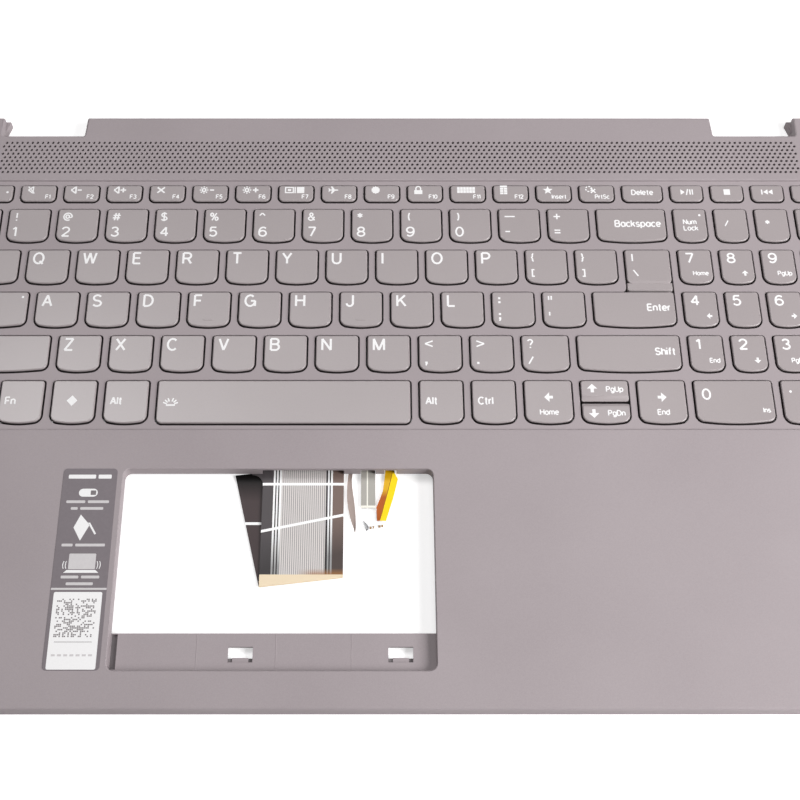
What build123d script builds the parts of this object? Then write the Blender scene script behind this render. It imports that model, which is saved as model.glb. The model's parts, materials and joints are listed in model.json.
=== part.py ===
from build123d import *
import os

# Top cover of a 15 inch convertible laptop with its keyboard fitted from below, as a repair
# part: no touchpad and no bottom case. Millimetres, +Y towards the hinges, +Z up, origin at
# the middle of the footprint, on the surface that the rim stands on.

# Key grid: pitch of each block and the slots of the odd keys along a row
unit = 19.05
pad_unit = 15.875
function_unit = 16.87
arrow_unit = 20.615
letter_row = 18.8
function_row = 11.2
bottom_row = 21.0
escape_slot = 18.065
grave_slot = 14.695
backspace_slot = 29.905
tab_slot = 24.165
caps_slot = 29.675
left_shift_slot = 39.905
slash_slot = 20.615
ctrl_slot = 20.85

# Keycaps: distance between neighbours, bowed front edge, cut corners, shell and travel
web_x = 3.05
web_y = 3.4
arrow_gap = 0.5
key_gap = 0.5
front_bow = 1.2
key_flats = 3
hole_flats = 2
front_cut = 1.8
rear_cut = 0.9
key_height = 1.9
key_skin = 0.8
key_wall = 1.2
key_draft = 10
key_travel = 1.4
key_float = 0.1
lip_drop = 0.8
post_size = 5.0
dome_radius = 3.0
dome_sides = 4
dome_draft = 24

# Sheets under the keys, from the bottom up
sheets_bottom = 1.75
backlight_sheet_thickness = 0.35
plate_thickness = 0.4
membrane_thickness = 0.25
dome_sheet_thickness = 0.2
sheet_margin = 1.2
sheet_front_setback = 5.4

# Cover shell
key_recess = 0.15
skin = 1.5
rim_wall = 1.6
side_margin = 11.15
well_margin = 1.0
well_step = 0.9
well_corner = 2.0
deck_thickness = 1.0
rib_clearance = 0.5
rib_wall = 1.5
plate_margin = 0.7
front_corner = 9.0
rear_corner = 5.0
edge_chamfer = 0.6

# Hinge notches in the rear edge and the speaker grille in front of them
hinge_bar_width = 251.8
hinge_bar_slant = 0.6
post_width = 20.1
notch_depth = 9.0
gusset_reach = 1.7
gusset_length = 6.0
gusset_height = 3.5
grille_front_gap = 2.55
grille_depth = 16.2
grille_rear_gap = 2.6
grille_side_margin = 20.5
mesh_border = 0.6
mesh_thickness = 0.3
mesh_recess = 0.6

# Touchpad window in the palm rest, with a ledge along its front side
window_width = 109.3
window_depth = 72.3
window_offset = -43.75
window_rear_margin = 16.05
window_front_margin = 12.9
window_corner = 2.5
collar_wall = 1.2
collar_bottom = 1.8
ledge_depth = 13.6
ledge_thickness = 1.2
clip_slot_width = 8.3
clip_slot_depth = 5.3
clip_slot_setback = 3.7
clip_slot_offset = -10.9
clip_slot_pitch = 53.6

# Screw bosses for the bottom case
boss_radius = 2.6
boss_inset = 8.0
boss_edge = 6.0
boss_bottom = 0.6
screw_radius = 0.8
screw_depth = 3.6

# Flexible tails that reach into the window, and the printed label beside it
tail_slot_clearance = 0.6
tail_slope = 2.6
tail_drop = 1.4
ribbon_offset = -35.1
ribbon_width = 28.8
ribbon_reach = 40.0
ribbon_fold_slant = 3.4
ribbon_return = 41.0
ribbon_return_shift = 10.2
ribbon_fold_gap = 0.35
light_tail_offset = -12.0
light_tail_width = 5.2
light_tail_reach = 21.0
light_tab_width = 9.6
light_tab_depth = 6.0
tail_level = 1.45
flex_thickness = 0.2
flex_width = 4.0
flex_shift = 4.4
flex_offset = -3.0
flex_seat = 6.0
label_width = 19.0
label_gap = 2.0
label_thickness = 0.12
label_corner = 0.7

# Overall sizes that follow from the grid
main_width = grave_slot + 12 * unit + backspace_slot
keys_width = main_width + 4 * pad_unit
keys_depth = function_row + 4 * letter_row + bottom_row
rear_margin = well_margin + grille_front_gap + grille_depth + grille_rear_gap + notch_depth
palm_depth = window_front_margin + window_depth + window_rear_margin
cover_width = keys_width + 2 * side_margin
cover_depth = rear_margin + keys_depth + palm_depth
rear_y = cover_depth / 2
front_y = -cover_depth / 2
keys_left = -keys_width / 2
keys_rear = rear_y - rear_margin
keys_front = keys_rear - keys_depth
keys_y = (keys_rear + keys_front) / 2
pad_left = keys_left + main_width

# Heights that follow from the stack of sheets
plate_bottom = sheets_bottom + backlight_sheet_thickness
plate_top = plate_bottom + plate_thickness
membrane_top = plate_top + membrane_thickness
dome_sheet_top = membrane_top + dome_sheet_thickness
key_bottom = dome_sheet_top + key_travel + key_float
key_top = key_bottom + key_height
pocket_top = key_top - key_skin
cover_height = key_top + key_recess
skin_bottom = cover_height - skin
deck_top = cover_height - well_step
deck_bottom = deck_top - deck_thickness
ledge_top = collar_bottom + ledge_thickness

# Places that follow from the window and the notches
window_front = front_y + window_front_margin
window_rear = window_front + window_depth
window_left = window_offset - window_width / 2
notch_front = rear_y - notch_depth
post_x = cover_width / 2 - post_width
boss_x = hinge_bar_width / 2 - boss_inset
boss_y = rear_y - boss_edge

# Key places: name to centre x, centre y, width and depth of the cap
keys = {}


def add_row(rear, slot_depth, left, row):
    """Lays the named slots of one row side by side, from its left end."""
    for name, slot_width in row:
        centre = (left + slot_width / 2, rear - slot_depth / 2)
        keys[name] = (*centre, slot_width - web_x, slot_depth - web_y)
        left += slot_width


def filled(row, last):
    """Adds a last key that fills the row up to the right end of the main block."""
    return row + [(last, main_width - sum(width for _, width in row))]


number_rear = keys_rear - function_row
upper_rear = number_rear - letter_row
home_rear = upper_rear - letter_row
lower_rear = home_rear - letter_row
bottom_rear = lower_rear - letter_row

function_names = [f"f{number}" for number in range(1, 13)] + ["insert", "print_screen"]
number_names = ["grave"] + list("1234567890") + ["minus", "equals"]
upper_names = list("qwertyuiop") + ["left_bracket", "right_bracket"]
home_names = list("asdfghjkl") + ["semicolon", "quote"]
lower_names = list("zxcvbnm") + ["comma", "period"]

row = [("escape", escape_slot)] + [(name, function_unit) for name in function_names]
add_row(keys_rear, function_row, keys_left, filled(row, "delete"))
row = [("grave", grave_slot)] + [(name, unit) for name in number_names[1:]]
add_row(number_rear, letter_row, keys_left, filled(row, "backspace"))
row = [("tab", tab_slot)] + [(name, unit) for name in upper_names]
add_row(upper_rear, letter_row, keys_left, filled(row, "backslash"))
row = [("caps_lock", caps_slot)] + [(name, unit) for name in home_names]
add_row(home_rear, letter_row, keys_left, filled(row, "enter"))
row = [("left_shift", left_shift_slot)] + [(name, unit) for name in lower_names]
row = row + [("slash", slash_slot)]
add_row(lower_rear, letter_row, keys_left, filled(row, "right_shift"))

space_slot = main_width - ctrl_slot - 5 * unit - 3 * arrow_unit
row = [("left_ctrl", ctrl_slot)] + [(name, unit) for name in ("fn", "system", "left_alt")]
row = row + [("space", space_slot)] + [(name, unit) for name in ("right_alt", "right_ctrl")]
row = row + [(name, arrow_unit) for name in ("arrow_left", "arrow_pair", "arrow_right")]
add_row(bottom_rear, bottom_row, keys_left, row)

pad_rows = [
    (keys_rear, function_row, ("play", "stop", "previous", "next")),
    (number_rear, letter_row, ("num_lock", "pad_divide", "pad_multiply", "pad_minus")),
    (upper_rear, letter_row, ("pad_7", "pad_8", "pad_9")),
    (home_rear, letter_row, ("pad_4", "pad_5", "pad_6")),
    (lower_rear, letter_row, ("pad_1", "pad_2", "pad_3")),
]
for rear, slot_depth, names in pad_rows:
    add_row(rear, slot_depth, pad_left, [(name, pad_unit) for name in names])
add_row(bottom_rear, bottom_row, pad_left, [("pad_0", 2 * pad_unit), ("pad_period", pad_unit)])
last_column = pad_left + 3 * pad_unit
add_row(upper_rear, 2 * letter_row, last_column, [("pad_plus", pad_unit)])
add_row(lower_rear, letter_row + bottom_row, last_column, [("pad_enter", pad_unit)])

# One hole in the deck for each slot; the two half-height arrows share theirs
holes = dict(keys)
pair_x, pair_y, pair_width, pair_depth = keys.pop("arrow_pair")
half_depth = (pair_depth - arrow_gap) / 2
half_shift = (half_depth + arrow_gap) / 2
keys["arrow_up"] = (pair_x, pair_y + half_shift, pair_width, half_depth)
keys["arrow_down"] = (pair_x, pair_y - half_shift, pair_width, half_depth)

moving_keys = number_names + upper_names + ["backslash"] + home_names + lower_names
moving_keys = moving_keys + ["slash", "space", "enter", "backspace", "tab"]
fixed_keys = [name for name in keys if name not in moving_keys]
straight_keys = ["escape", *function_names, "delete", "play", "stop", "previous", "next"]
straight_keys = straight_keys + ["space", "backslash", "arrow_up"]


def key_outline(name, width, depth, front_flats):
    """Outline of a key or its hole: cut corners and a front edge bowed in two or three flats."""
    side = width / 2
    end = depth / 2
    corner = side - front_cut
    third = width / 6
    bow = 0 if name in straight_keys else front_bow
    corner_y = bow * (corner / side) ** 2 - end
    third_y = bow * (third / side) ** 2 - end
    right = [(corner, corner_y), (side, corner_y + front_cut)]
    right = right + [(side, end - rear_cut), (side - rear_cut, end)]
    left = [(-x, y) for x, y in reversed(right)]
    middle = [(-third, third_y), (third, third_y)] if front_flats == 3 else [(0, -end)]
    Polygon(*(middle if bow else []), *right, *left, align=None)


with BuildSketch() as cover_outline:
    Rectangle(cover_width, cover_depth)
    fillet(cover_outline.vertices().group_by(Axis.Y)[0], front_corner)
    fillet(cover_outline.vertices().group_by(Axis.Y)[-1], rear_corner)
    for side in (-1, 1):
        bar_end = side * hinge_bar_width / 2
        bar_root = bar_end + side * hinge_bar_slant
        post_side = side * post_x
        inner = [(bar_end, rear_y), (bar_root, notch_front)]
        outer = [(post_side, notch_front), (post_side, rear_y)]
        Polygon(*inner, *outer, align=None, mode=Mode.SUBTRACT)

backslash_x, backslash_y, backslash_width, backslash_depth = keys["backslash"]
enter_rear = keys["enter"][1] + keys["enter"][3] / 2
backslash_front = backslash_y - backslash_depth / 2
lip_front = enter_rear + key_gap
lip_depth = backslash_front - lip_front
clip_slot_y = window_front + clip_slot_setback + clip_slot_depth / 2
clip_slots = [(window_offset + clip_slot_offset + step * clip_slot_pitch, clip_slot_y) for step in (0, 1)]
rib_width = keys_width + 2 * rib_clearance
rib_depth = keys_depth + 2 * rib_clearance
grille_y = keys_rear + well_margin + grille_front_gap + grille_depth / 2
grille_width = cover_width - 2 * grille_side_margin

with BuildPart() as palmrest_cover:
    extrude(cover_outline.sketch, amount=cover_height)
    chamfer(palmrest_cover.faces().sort_by(Axis.Z)[-1].edges(), edge_chamfer)
    # Hollow underside
    with BuildSketch() as cavity:
        add(cover_outline.sketch)
        offset(amount=-rim_wall, kind=Kind.INTERSECTION)
    extrude(amount=skin_bottom, mode=Mode.SUBTRACT)
    # Sunk well with the deck that the keys stand in
    with BuildSketch(Plane.XY.offset(deck_top)):
        with Locations((0, keys_y)):
            RectangleRounded(keys_width + 2 * well_margin, keys_depth + 2 * well_margin, well_corner)
    extrude(amount=well_step, mode=Mode.SUBTRACT)
    with BuildSketch(Plane.XY.offset(deck_bottom)):
        with Locations((0, keys_y)):
            Rectangle(rib_width + 2 * rib_wall, rib_depth + 2 * rib_wall)
    extrude(amount=deck_thickness)
    # Rib round the deck, which the keyboard's plate seats on
    with BuildSketch(Plane.XY.offset(plate_top)):
        with Locations((0, keys_y)):
            Rectangle(rib_width + 2 * rib_wall, rib_depth + 2 * rib_wall)
            Rectangle(rib_width, rib_depth, mode=Mode.SUBTRACT)
    extrude(amount=deck_bottom - plate_top)
    # Lattice of key holes
    with BuildSketch(Plane.XY.offset(deck_bottom)):
        for name, (x, y, width, depth) in holes.items():
            with Locations((x, y)):
                key_outline(name, width + 2 * key_gap, depth + 2 * key_gap, hole_flats)
        with Locations((backslash_x, (backslash_front + enter_rear) / 2)):
            Rectangle(backslash_width + 2 * key_gap, lip_depth + 2 * (key_gap + front_cut))
    extrude(amount=deck_thickness, mode=Mode.SUBTRACT)
    # Touchpad window with its collar, ledge and clip slots
    with BuildSketch(Plane.XY.offset(collar_bottom)):
        with Locations((window_offset, window_front + window_depth / 2)):
            Rectangle(window_width + 2 * collar_wall, window_depth + 2 * collar_wall)
    extrude(amount=skin_bottom - collar_bottom)
    with BuildSketch(Plane.XY.offset(ledge_top)):
        with Locations((window_offset, window_front + window_depth / 2)):
            RectangleRounded(window_width, window_depth, window_corner)
    extrude(amount=cover_height - ledge_top, mode=Mode.SUBTRACT)
    with BuildSketch(Plane.XY.offset(collar_bottom)) as opening:
        with Locations((window_offset, window_rear - (window_depth - ledge_depth) / 2)):
            Rectangle(window_width, window_depth - ledge_depth)
        fillet(opening.vertices().group_by(Axis.Y)[-1], window_corner)
        with Locations(*clip_slots):
            Rectangle(clip_slot_width, clip_slot_depth)
    extrude(amount=ledge_thickness, mode=Mode.SUBTRACT)
    # Screw bosses for the bottom case
    with BuildSketch(Plane.XY.offset(boss_bottom)):
        with GridLocations(2 * boss_x, 2 * boss_y, 2, 2):
            RegularPolygon(boss_radius, 8)
    extrude(amount=skin_bottom - boss_bottom)
    with BuildSketch(Plane.XY.offset(boss_bottom)):
        with GridLocations(2 * boss_x, 2 * boss_y, 2, 2):
            Circle(screw_radius)
    extrude(amount=screw_depth, mode=Mode.SUBTRACT)
    # Thinned skin over the speaker mesh, and a gusset in each hinge notch
    with BuildSketch(Plane.XY.offset(skin_bottom)):
        with Locations((0, grille_y)):
            Rectangle(grille_width + 2 * mesh_border, grille_depth + 2 * mesh_border)
    extrude(amount=mesh_recess, mode=Mode.SUBTRACT)
    with BuildSketch():
        for side in (-1, 1):
            wall = [(side * post_x, rear_y - gusset_length), (side * post_x, rear_y)]
            Polygon(*wall, (side * (post_x - gusset_reach), rear_y), align=None)
    extrude(amount=gusset_height)
palmrest_cover.part.label = "palmrest_cover"

with BuildPart() as speaker_mesh:
    with BuildSketch(Plane.XY.offset(skin_bottom + mesh_recess - mesh_thickness)):
        with Locations((0, grille_y)):
            Rectangle(grille_width, grille_depth)
    extrude(amount=mesh_thickness)
speaker_mesh.part.label = "speaker_mesh"

# The sheets end behind the slot where the tails go down through the plate
sheet_width = keys_width - 2 * sheet_margin
sheet_rear = keys_rear - sheet_margin
sheet_front = keys_front + sheet_front_setback
sheet_depth = sheet_rear - sheet_front
sheet_y = (sheet_rear + sheet_front) / 2
tail_front = sheet_front - tail_slope
ribbon_fold = window_rear - ribbon_reach

with BuildPart() as base_plate:
    with BuildSketch(Plane.XY.offset(plate_bottom)):
        with Locations((0, keys_y)):
            plate_grow = 2 * (rib_wall + plate_margin)
            Rectangle(rib_width + plate_grow, rib_depth + plate_grow)
        with Locations((ribbon_offset, (sheet_front + tail_front) / 2)):
            slot_grow = 2 * tail_slot_clearance
            Rectangle(ribbon_width + slot_grow, tail_slope + slot_grow, mode=Mode.SUBTRACT)
    extrude(amount=plate_thickness)
base_plate.part.label = "base_plate"


def tail_profile(top, thickness, start, lowered, end):
    """Side view of a thin tail: level, down a slope in front of the sheets, then level."""
    upper = [(start, top), (sheet_front, top), (tail_front, lowered), (end, lowered)]
    lower = [(y, z - thickness) for y, z in reversed(upper)]
    Polygon(*upper, *lower, align=None)


with BuildPart() as membrane_circuit:
    # Tail: its side view, cut to the plan of the ribbon with its slanted fold
    ribbon_level = membrane_top - tail_drop
    ribbon_left = ribbon_offset - ribbon_width / 2
    ribbon_right = ribbon_offset + ribbon_width / 2
    fold_left = (ribbon_left, ribbon_fold - ribbon_fold_slant)
    fold_right = (ribbon_right, ribbon_fold)
    with BuildSketch(Plane.YZ):
        tail_profile(membrane_top, membrane_thickness, sheet_y, ribbon_level, fold_left[1])
    extrude(amount=cover_width / 2, both=True)
    with BuildSketch():
        Polygon((ribbon_right, sheet_y), (ribbon_left, sheet_y), fold_left, fold_right, align=None)
    extrude(amount=membrane_top, mode=Mode.INTERSECT)
    # Return layer under the tail, turned aside by the slant of the fold
    return_level = ribbon_level - 2 * membrane_thickness - ribbon_fold_gap
    with BuildSketch(Plane.XY.offset(return_level)):
        far_right = (fold_right[0] - ribbon_return_shift, fold_right[1] + ribbon_return)
        far_left = (fold_left[0] - ribbon_return_shift, fold_left[1] + ribbon_return)
        Polygon(fold_left, fold_right, far_right, far_left, align=None)
    extrude(amount=membrane_thickness)
    with BuildSketch(Plane.XY.offset(return_level)):
        behind = [(x, y + membrane_thickness) for x, y in (fold_right, fold_left)]
        Polygon(fold_left, fold_right, *behind, align=None)
    extrude(amount=ribbon_level - return_level)
    # Sheet under the domes
    with BuildSketch(Plane.XY.offset(plate_top)):
        with Locations((0, sheet_y)):
            Rectangle(sheet_width, sheet_depth)
    extrude(amount=membrane_thickness)
membrane_circuit.part.label = "membrane_circuit"

with BuildPart() as dome_sheet:
    with BuildSketch(Plane.XY.offset(membrane_top)):
        with Locations((0, sheet_y)):
            Rectangle(sheet_width, sheet_depth)
    extrude(amount=dome_sheet_thickness)
    # Keys that are one with the sheet, each on its own stem
    with BuildSketch(Plane.XY.offset(dome_sheet_top)):
        for name in fixed_keys:
            with Locations(keys[name][:2]):
                Rectangle(post_size, post_size)
    extrude(amount=key_bottom - dome_sheet_top)
    with BuildSketch(Plane.XY.offset(key_bottom)):
        for name in fixed_keys:
            x, y, width, depth = keys[name]
            with Locations((x, y)):
                key_outline(name, width, depth, key_flats)
    extrude(amount=key_height, taper=key_draft)
dome_sheet.part.label = "dome_sheet"

with BuildPart() as key_domes:
    with BuildSketch(Plane.XY.offset(dome_sheet_top)):
        for name in moving_keys:
            with Locations(keys[name][:2]):
                RegularPolygon(dome_radius, dome_sides)
    extrude(amount=pocket_top - dome_sheet_top, taper=dome_draft)
key_domes.part.label = "key_domes"

with BuildPart() as backlight_sheet:
    # Tail with a wider clear end tab, then the light guide under the plate
    tail_right = light_tail_offset + light_tail_width / 2
    tail_left = light_tail_offset - light_tail_width / 2
    light_end = window_rear - light_tail_reach
    tab_right = tail_left + light_tab_width
    tab_rear = light_end + light_tab_depth
    with BuildSketch(Plane.YZ):
        tail_profile(plate_bottom, backlight_sheet_thickness, sheet_y, tail_level, light_end)
    extrude(amount=cover_width / 2, both=True)
    with BuildSketch():
        strip = [(tail_right, sheet_y), (tail_left, sheet_y), (tail_left, light_end)]
        tab = [(tab_right, light_end), (tab_right, tab_rear), (tail_right, tab_rear)]
        Polygon(*strip, *tab, align=None)
    extrude(amount=plate_bottom, mode=Mode.INTERSECT)
    with BuildSketch(Plane.XY.offset(sheets_bottom)):
        with Locations((0, sheet_y)):
            Rectangle(sheet_width, sheet_depth)
    extrude(amount=backlight_sheet_thickness)
backlight_sheet.part.label = "backlight_sheet"

with BuildPart() as backlight_flex:
    # Lamp strip under the light guide, slanting forward to the end tab
    flex_level = tail_level - backlight_sheet_thickness
    flex_rear = sheet_front + flex_seat
    with BuildSketch(Plane.YZ):
        tail_profile(sheets_bottom, flex_thickness, flex_rear, flex_level, light_end)
    extrude(amount=cover_width / 2, both=True)
    with BuildSketch():
        rear_end = [(flex_offset + side * flex_width / 2, flex_rear) for side in (1, -1)]
        bend = [(x, window_rear) for x, _ in rear_end]
        front_end = [(x - flex_shift, tab_rear - light_tab_depth / 2) for x, _ in rear_end]
        Polygon(*rear_end, bend[1], front_end[1], front_end[0], bend[0], align=None)
    extrude(amount=sheets_bottom, mode=Mode.INTERSECT)
backlight_flex.part.label = "backlight_flex"

with BuildPart() as feature_label:
    with BuildSketch(Plane.XY.offset(cover_height)) as label_outline:
        label_x = window_left - label_gap - label_width / 2
        with Locations((label_x, window_front + window_depth / 2)):
            Rectangle(label_width, window_depth)
        chamfer(label_outline.vertices(), label_corner)
    extrude(amount=label_thickness)
feature_label.part.label = "feature_label"

pieces = [palmrest_cover, speaker_mesh, base_plate, membrane_circuit, dome_sheet]
pieces = pieces + [key_domes, backlight_sheet, backlight_flex, feature_label]

# Keys that travel: a drafted cap, hollow underneath where its dome stands
for name in moving_keys:
    x, y, width, depth = keys[name]
    with BuildPart() as keycap:
        with BuildSketch(Plane.XY.offset(key_bottom)):
            with Locations((x, y)):
                key_outline(name, width, depth, key_flats)
        extrude(amount=key_height, taper=key_draft)
        if name == "backslash":
            with BuildSketch(Plane.XY.offset(key_bottom)):
                with Locations((x, backslash_front)):
                    Rectangle(width, 2 * front_cut)
                with Locations((x, lip_front + lip_depth / 2)):
                    Rectangle(width, lip_depth)
            extrude(amount=key_height - lip_drop)
        with BuildSketch(Plane.XY.offset(key_bottom)):
            with Locations((x, y)):
                Rectangle(width - 2 * key_wall, depth - 2 * (key_wall + front_bow))
        extrude(amount=pocket_top - key_bottom, mode=Mode.SUBTRACT)
    keycap.part.label = f"key_{name}"
    pieces.append(keycap)

os.makedirs("parts", exist_ok=True)
for piece in pieces:
    export_step(piece.part, f"parts/{piece.part.label}.step")
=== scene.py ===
# %% [markdown]
# # A laptop's top cover with its keyboard
# This lesson dresses a laptop's palm rest and its fitted keyboard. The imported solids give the
# frame: where each key sits and how far it travels. Blender adds what the eye looks for: rounded
# edges, white legends, a grille of fine holes, printed film and soft studio light.
# Sizes are written in millimetres, because a maker reads them so, and become metres at the end.

# %% Load the frame
import json
import random
from math import cos, pi, radians, sin, tan

import bmesh
import bpy
from mathutils import Matrix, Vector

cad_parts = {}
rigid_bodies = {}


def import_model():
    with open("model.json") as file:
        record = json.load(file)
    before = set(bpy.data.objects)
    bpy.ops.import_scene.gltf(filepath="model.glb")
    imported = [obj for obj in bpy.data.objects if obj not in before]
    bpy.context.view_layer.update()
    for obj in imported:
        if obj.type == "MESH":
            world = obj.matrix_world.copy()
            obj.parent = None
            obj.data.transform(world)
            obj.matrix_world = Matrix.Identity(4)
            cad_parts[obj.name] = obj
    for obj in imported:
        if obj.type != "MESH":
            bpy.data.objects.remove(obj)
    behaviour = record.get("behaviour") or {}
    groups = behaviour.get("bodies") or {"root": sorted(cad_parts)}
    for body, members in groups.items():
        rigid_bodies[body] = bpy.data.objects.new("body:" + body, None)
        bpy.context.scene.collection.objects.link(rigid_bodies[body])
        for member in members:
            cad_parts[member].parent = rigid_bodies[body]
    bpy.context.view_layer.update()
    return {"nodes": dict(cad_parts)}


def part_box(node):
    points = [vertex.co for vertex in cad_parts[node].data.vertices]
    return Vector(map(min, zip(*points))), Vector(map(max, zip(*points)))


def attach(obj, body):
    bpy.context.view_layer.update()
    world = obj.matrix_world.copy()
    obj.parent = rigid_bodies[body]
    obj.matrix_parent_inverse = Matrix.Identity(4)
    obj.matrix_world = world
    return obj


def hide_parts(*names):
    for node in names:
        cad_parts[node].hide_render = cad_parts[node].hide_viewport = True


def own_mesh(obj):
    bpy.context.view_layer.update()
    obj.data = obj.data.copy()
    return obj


for leftover in list(bpy.data.objects):
    bpy.data.objects.remove(leftover)
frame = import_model()

MM = 0.001

# %% [markdown]
# ## Colours and nodes
# Screens show sRGB colours, but light is added up in linear values, so one function turns a
# written colour into a linear one. A second small function adds a node, sets what it needs and
# links its inputs. Three more start a material, lay tones over each other and turn a pattern's
# size into a texture scale.

# %% Helpers for materials
def linear(code):
    """A hex sRGB colour as linear RGBA."""
    channels = [int(code[place:place + 2], 16) / 255 for place in (1, 3, 5)]
    return [c / 12.92 if c <= 0.04045 else ((c + 0.055) / 1.055) ** 2.4 for c in channels] + [1]


def add_node(tree, kind, inputs=None, **settings):
    """A new node with its settings, and its inputs set or linked."""
    node = tree.nodes.new(kind)
    for name, value in settings.items():
        setattr(node, name, value)
    for socket, value in (inputs or {}).items():
        if isinstance(value, bpy.types.NodeSocket):
            tree.links.new(value, node.inputs[socket])
        else:
            node.inputs[socket].default_value = value
    return node


def new_material(name, **constants):
    """A material, its node tree and its shader with the sockets that are the same all over."""
    material = bpy.data.materials.new(name)
    material.use_nodes = True
    shader = material.node_tree.nodes["Principled BSDF"]
    for socket, value in constants.items():
        shader.inputs[socket.replace("_", " ")].default_value = value
    return material, material.node_tree, shader


def paint(tree, shader, colour, layers):
    """Lays tones over a colour, each as far as its socket says, for the shader's base colour."""
    for share, tone in layers:
        layer = {0: share, 6: colour, 7: linear(tone)}
        colour = add_node(tree, "ShaderNodeMix", layer, data_type="RGBA").outputs[2]
    tree.links.new(colour, shader.inputs["Base Color"])


def per_mm(size):
    """Texture scale for a pattern of this size in millimetres on coordinates in metres."""
    return 1 / (size * MM)


print("half grey in linear light:", round(linear("#808080")[0], 3))

# %% [markdown]
# ## Satin moulded ABS
# The cover and the keycaps are moulded in ABS. The mould's steel is spark eroded, which leaves a
# fine grit, so the plastic looks satin: a broad soft sheen and no sharp reflection. The grit is
# really about 0.05 mm and too fine to show, so it is drawn a few times coarser. A slow change of
# tone over some centimetres keeps the large faces from looking like flat paint.

# %% Moulded plastic
FLOW_SIZE, GRIT_HEIGHT, ROUGH_SPREAD = 55, 0.02, 0.06


def satin_abs(name, dark, light, grit, roughness, sheen):
    """Plastic of two close tones, with grit of one size in millimetres."""
    material, tree, shader = new_material(name, IOR=1.53, Specular_IOR_Level=sheen)
    place = add_node(tree, "ShaderNodeTexCoord").outputs["Object"]
    flow = add_node(tree, "ShaderNodeTexNoise", {"Vector": place, "Scale": per_mm(FLOW_SIZE), "Detail": 3.0})
    speck = add_node(tree, "ShaderNodeTexNoise", {"Vector": place, "Scale": per_mm(grit), "Detail": 2.0})
    grain = speck.outputs["Fac"]
    both = add_node(tree, "ShaderNodeMath", {0: flow.outputs["Fac"], 1: grain}, operation="ADD")
    tone = add_node(tree, "ShaderNodeMapRange", {0: both.outputs[0], 1: 0.6, 2: 1.4})
    paint(tree, shader, linear(dark), [(tone.outputs[0], light)])
    spread = {0: grain, 3: roughness - ROUGH_SPREAD, 4: roughness + ROUGH_SPREAD}
    rough = add_node(tree, "ShaderNodeMapRange", spread)
    bump = add_node(tree, "ShaderNodeBump", {"Height": grain, "Strength": 0.25, "Distance": GRIT_HEIGHT * MM})
    tree.links.new(rough.outputs[0], shader.inputs["Roughness"])
    tree.links.new(bump.outputs[0], shader.inputs["Normal"])
    return material


# A broad soft sheen on the palm rest, and a tighter, brighter one on the painted keys
cover_plastic = satin_abs("satin ABS, palm rest", "#9f9598", "#aaa0a3", 0.35, 0.66, 0.28)
key_plastic = satin_abs("satin ABS, keycaps", "#a39a9b", "#aca3a4", 0.3, 0.3, 0.55)
print("moulded plastics:", cover_plastic.name, "and", key_plastic.name)

# %% [markdown]
# ## Ink, film and metal
# The legends are pad printed: a thin matt white ink with a little unevenness. The other finishes
# are thin sheets: a black polyester film under the keys, an aluminium plate, milky silicone domes
# and the black cloth behind the grille.

# %% Small finishes
SPECK_HEIGHT = 0.05


def speckled(name, dark, light, size, bump_strength=0.0, **constants):
    """A finish of two close tones in specks of one size, with a bump if it has relief."""
    material, tree, shader = new_material(name, **constants)
    place = add_node(tree, "ShaderNodeTexCoord").outputs["Object"]
    speck = add_node(tree, "ShaderNodeTexNoise", {"Vector": place, "Scale": per_mm(size), "Detail": 3.0})
    paint(tree, shader, linear(dark), [(speck.outputs["Fac"], light)])
    if bump_strength:
        relief = {"Height": speck.outputs["Fac"], "Strength": bump_strength, "Distance": SPECK_HEIGHT * MM}
        bump = add_node(tree, "ShaderNodeBump", relief)
        tree.links.new(bump.outputs[0], shader.inputs["Normal"])
    return material


# Dark and dull: painted shade on the lower side of a key, for the dark gap round it
gap_shade_resin = speckled("black resin, painted gap shade", "#241e1f", "#312a2a", 1.2, Roughness=0.6)
# Matt dark grey: painted shade in the groove and in the corners of the slots
hollow_shade_grey = speckled("dark grey, painted hollow shade", "#6e686a", "#787274", 0.8, 0.2, Roughness=0.8)
# Bright and matt, so that legends read from any side
white_ink = speckled("white pad-print ink", "#f1eff0", "#fbfafa", 0.6, Roughness=0.55)
# Near black with a faint gloss: a black film, and painted shade in the gaps round the keys
black_film_and_gap_shade = speckled("black polyester film and gap shade", "#151314", "#211e1f", 3.0, Roughness=0.35)
# Milky and soft, with hardly a highlight
silicone = speckled("milky silicone rubber", "#c9c6bf", "#dad8d2", 1.5, 0.1, Roughness=0.6)
# Light grey metal with a blurred reflection
aluminium = speckled("pressed aluminium sheet", "#a9a9aa", "#bdbdbe", 0.8, 0.15, Roughness=0.38, Metallic=1.0)
# Darkness behind the grille's holes, with a trace of thread
speaker_cloth = speckled("black woven speaker cloth", "#0c0b0b", "#2a2728", 0.4, 0.6, Roughness=0.9)
# Pale and glossy, as a clear sheet looks over a white one
light_guide = speckled("clear acrylic light guide", "#d5d6d8", "#e4e5e6", 8.0, Roughness=0.15)
print("finishes:", [m.name for m in (white_ink, black_film_and_gap_shade, silicone, aluminium, speaker_cloth, light_guide)])

# %% [markdown]
# ## Where the keys are
# The keyboard follows a grid. A letter takes a 19.05 mm slot, the pad 15.875 mm, and a few odd
# keys fill each row to the same right end. The same few sizes give the place of every key, and the
# result is compared with the boxes of the travelling keys in the frame.

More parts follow.
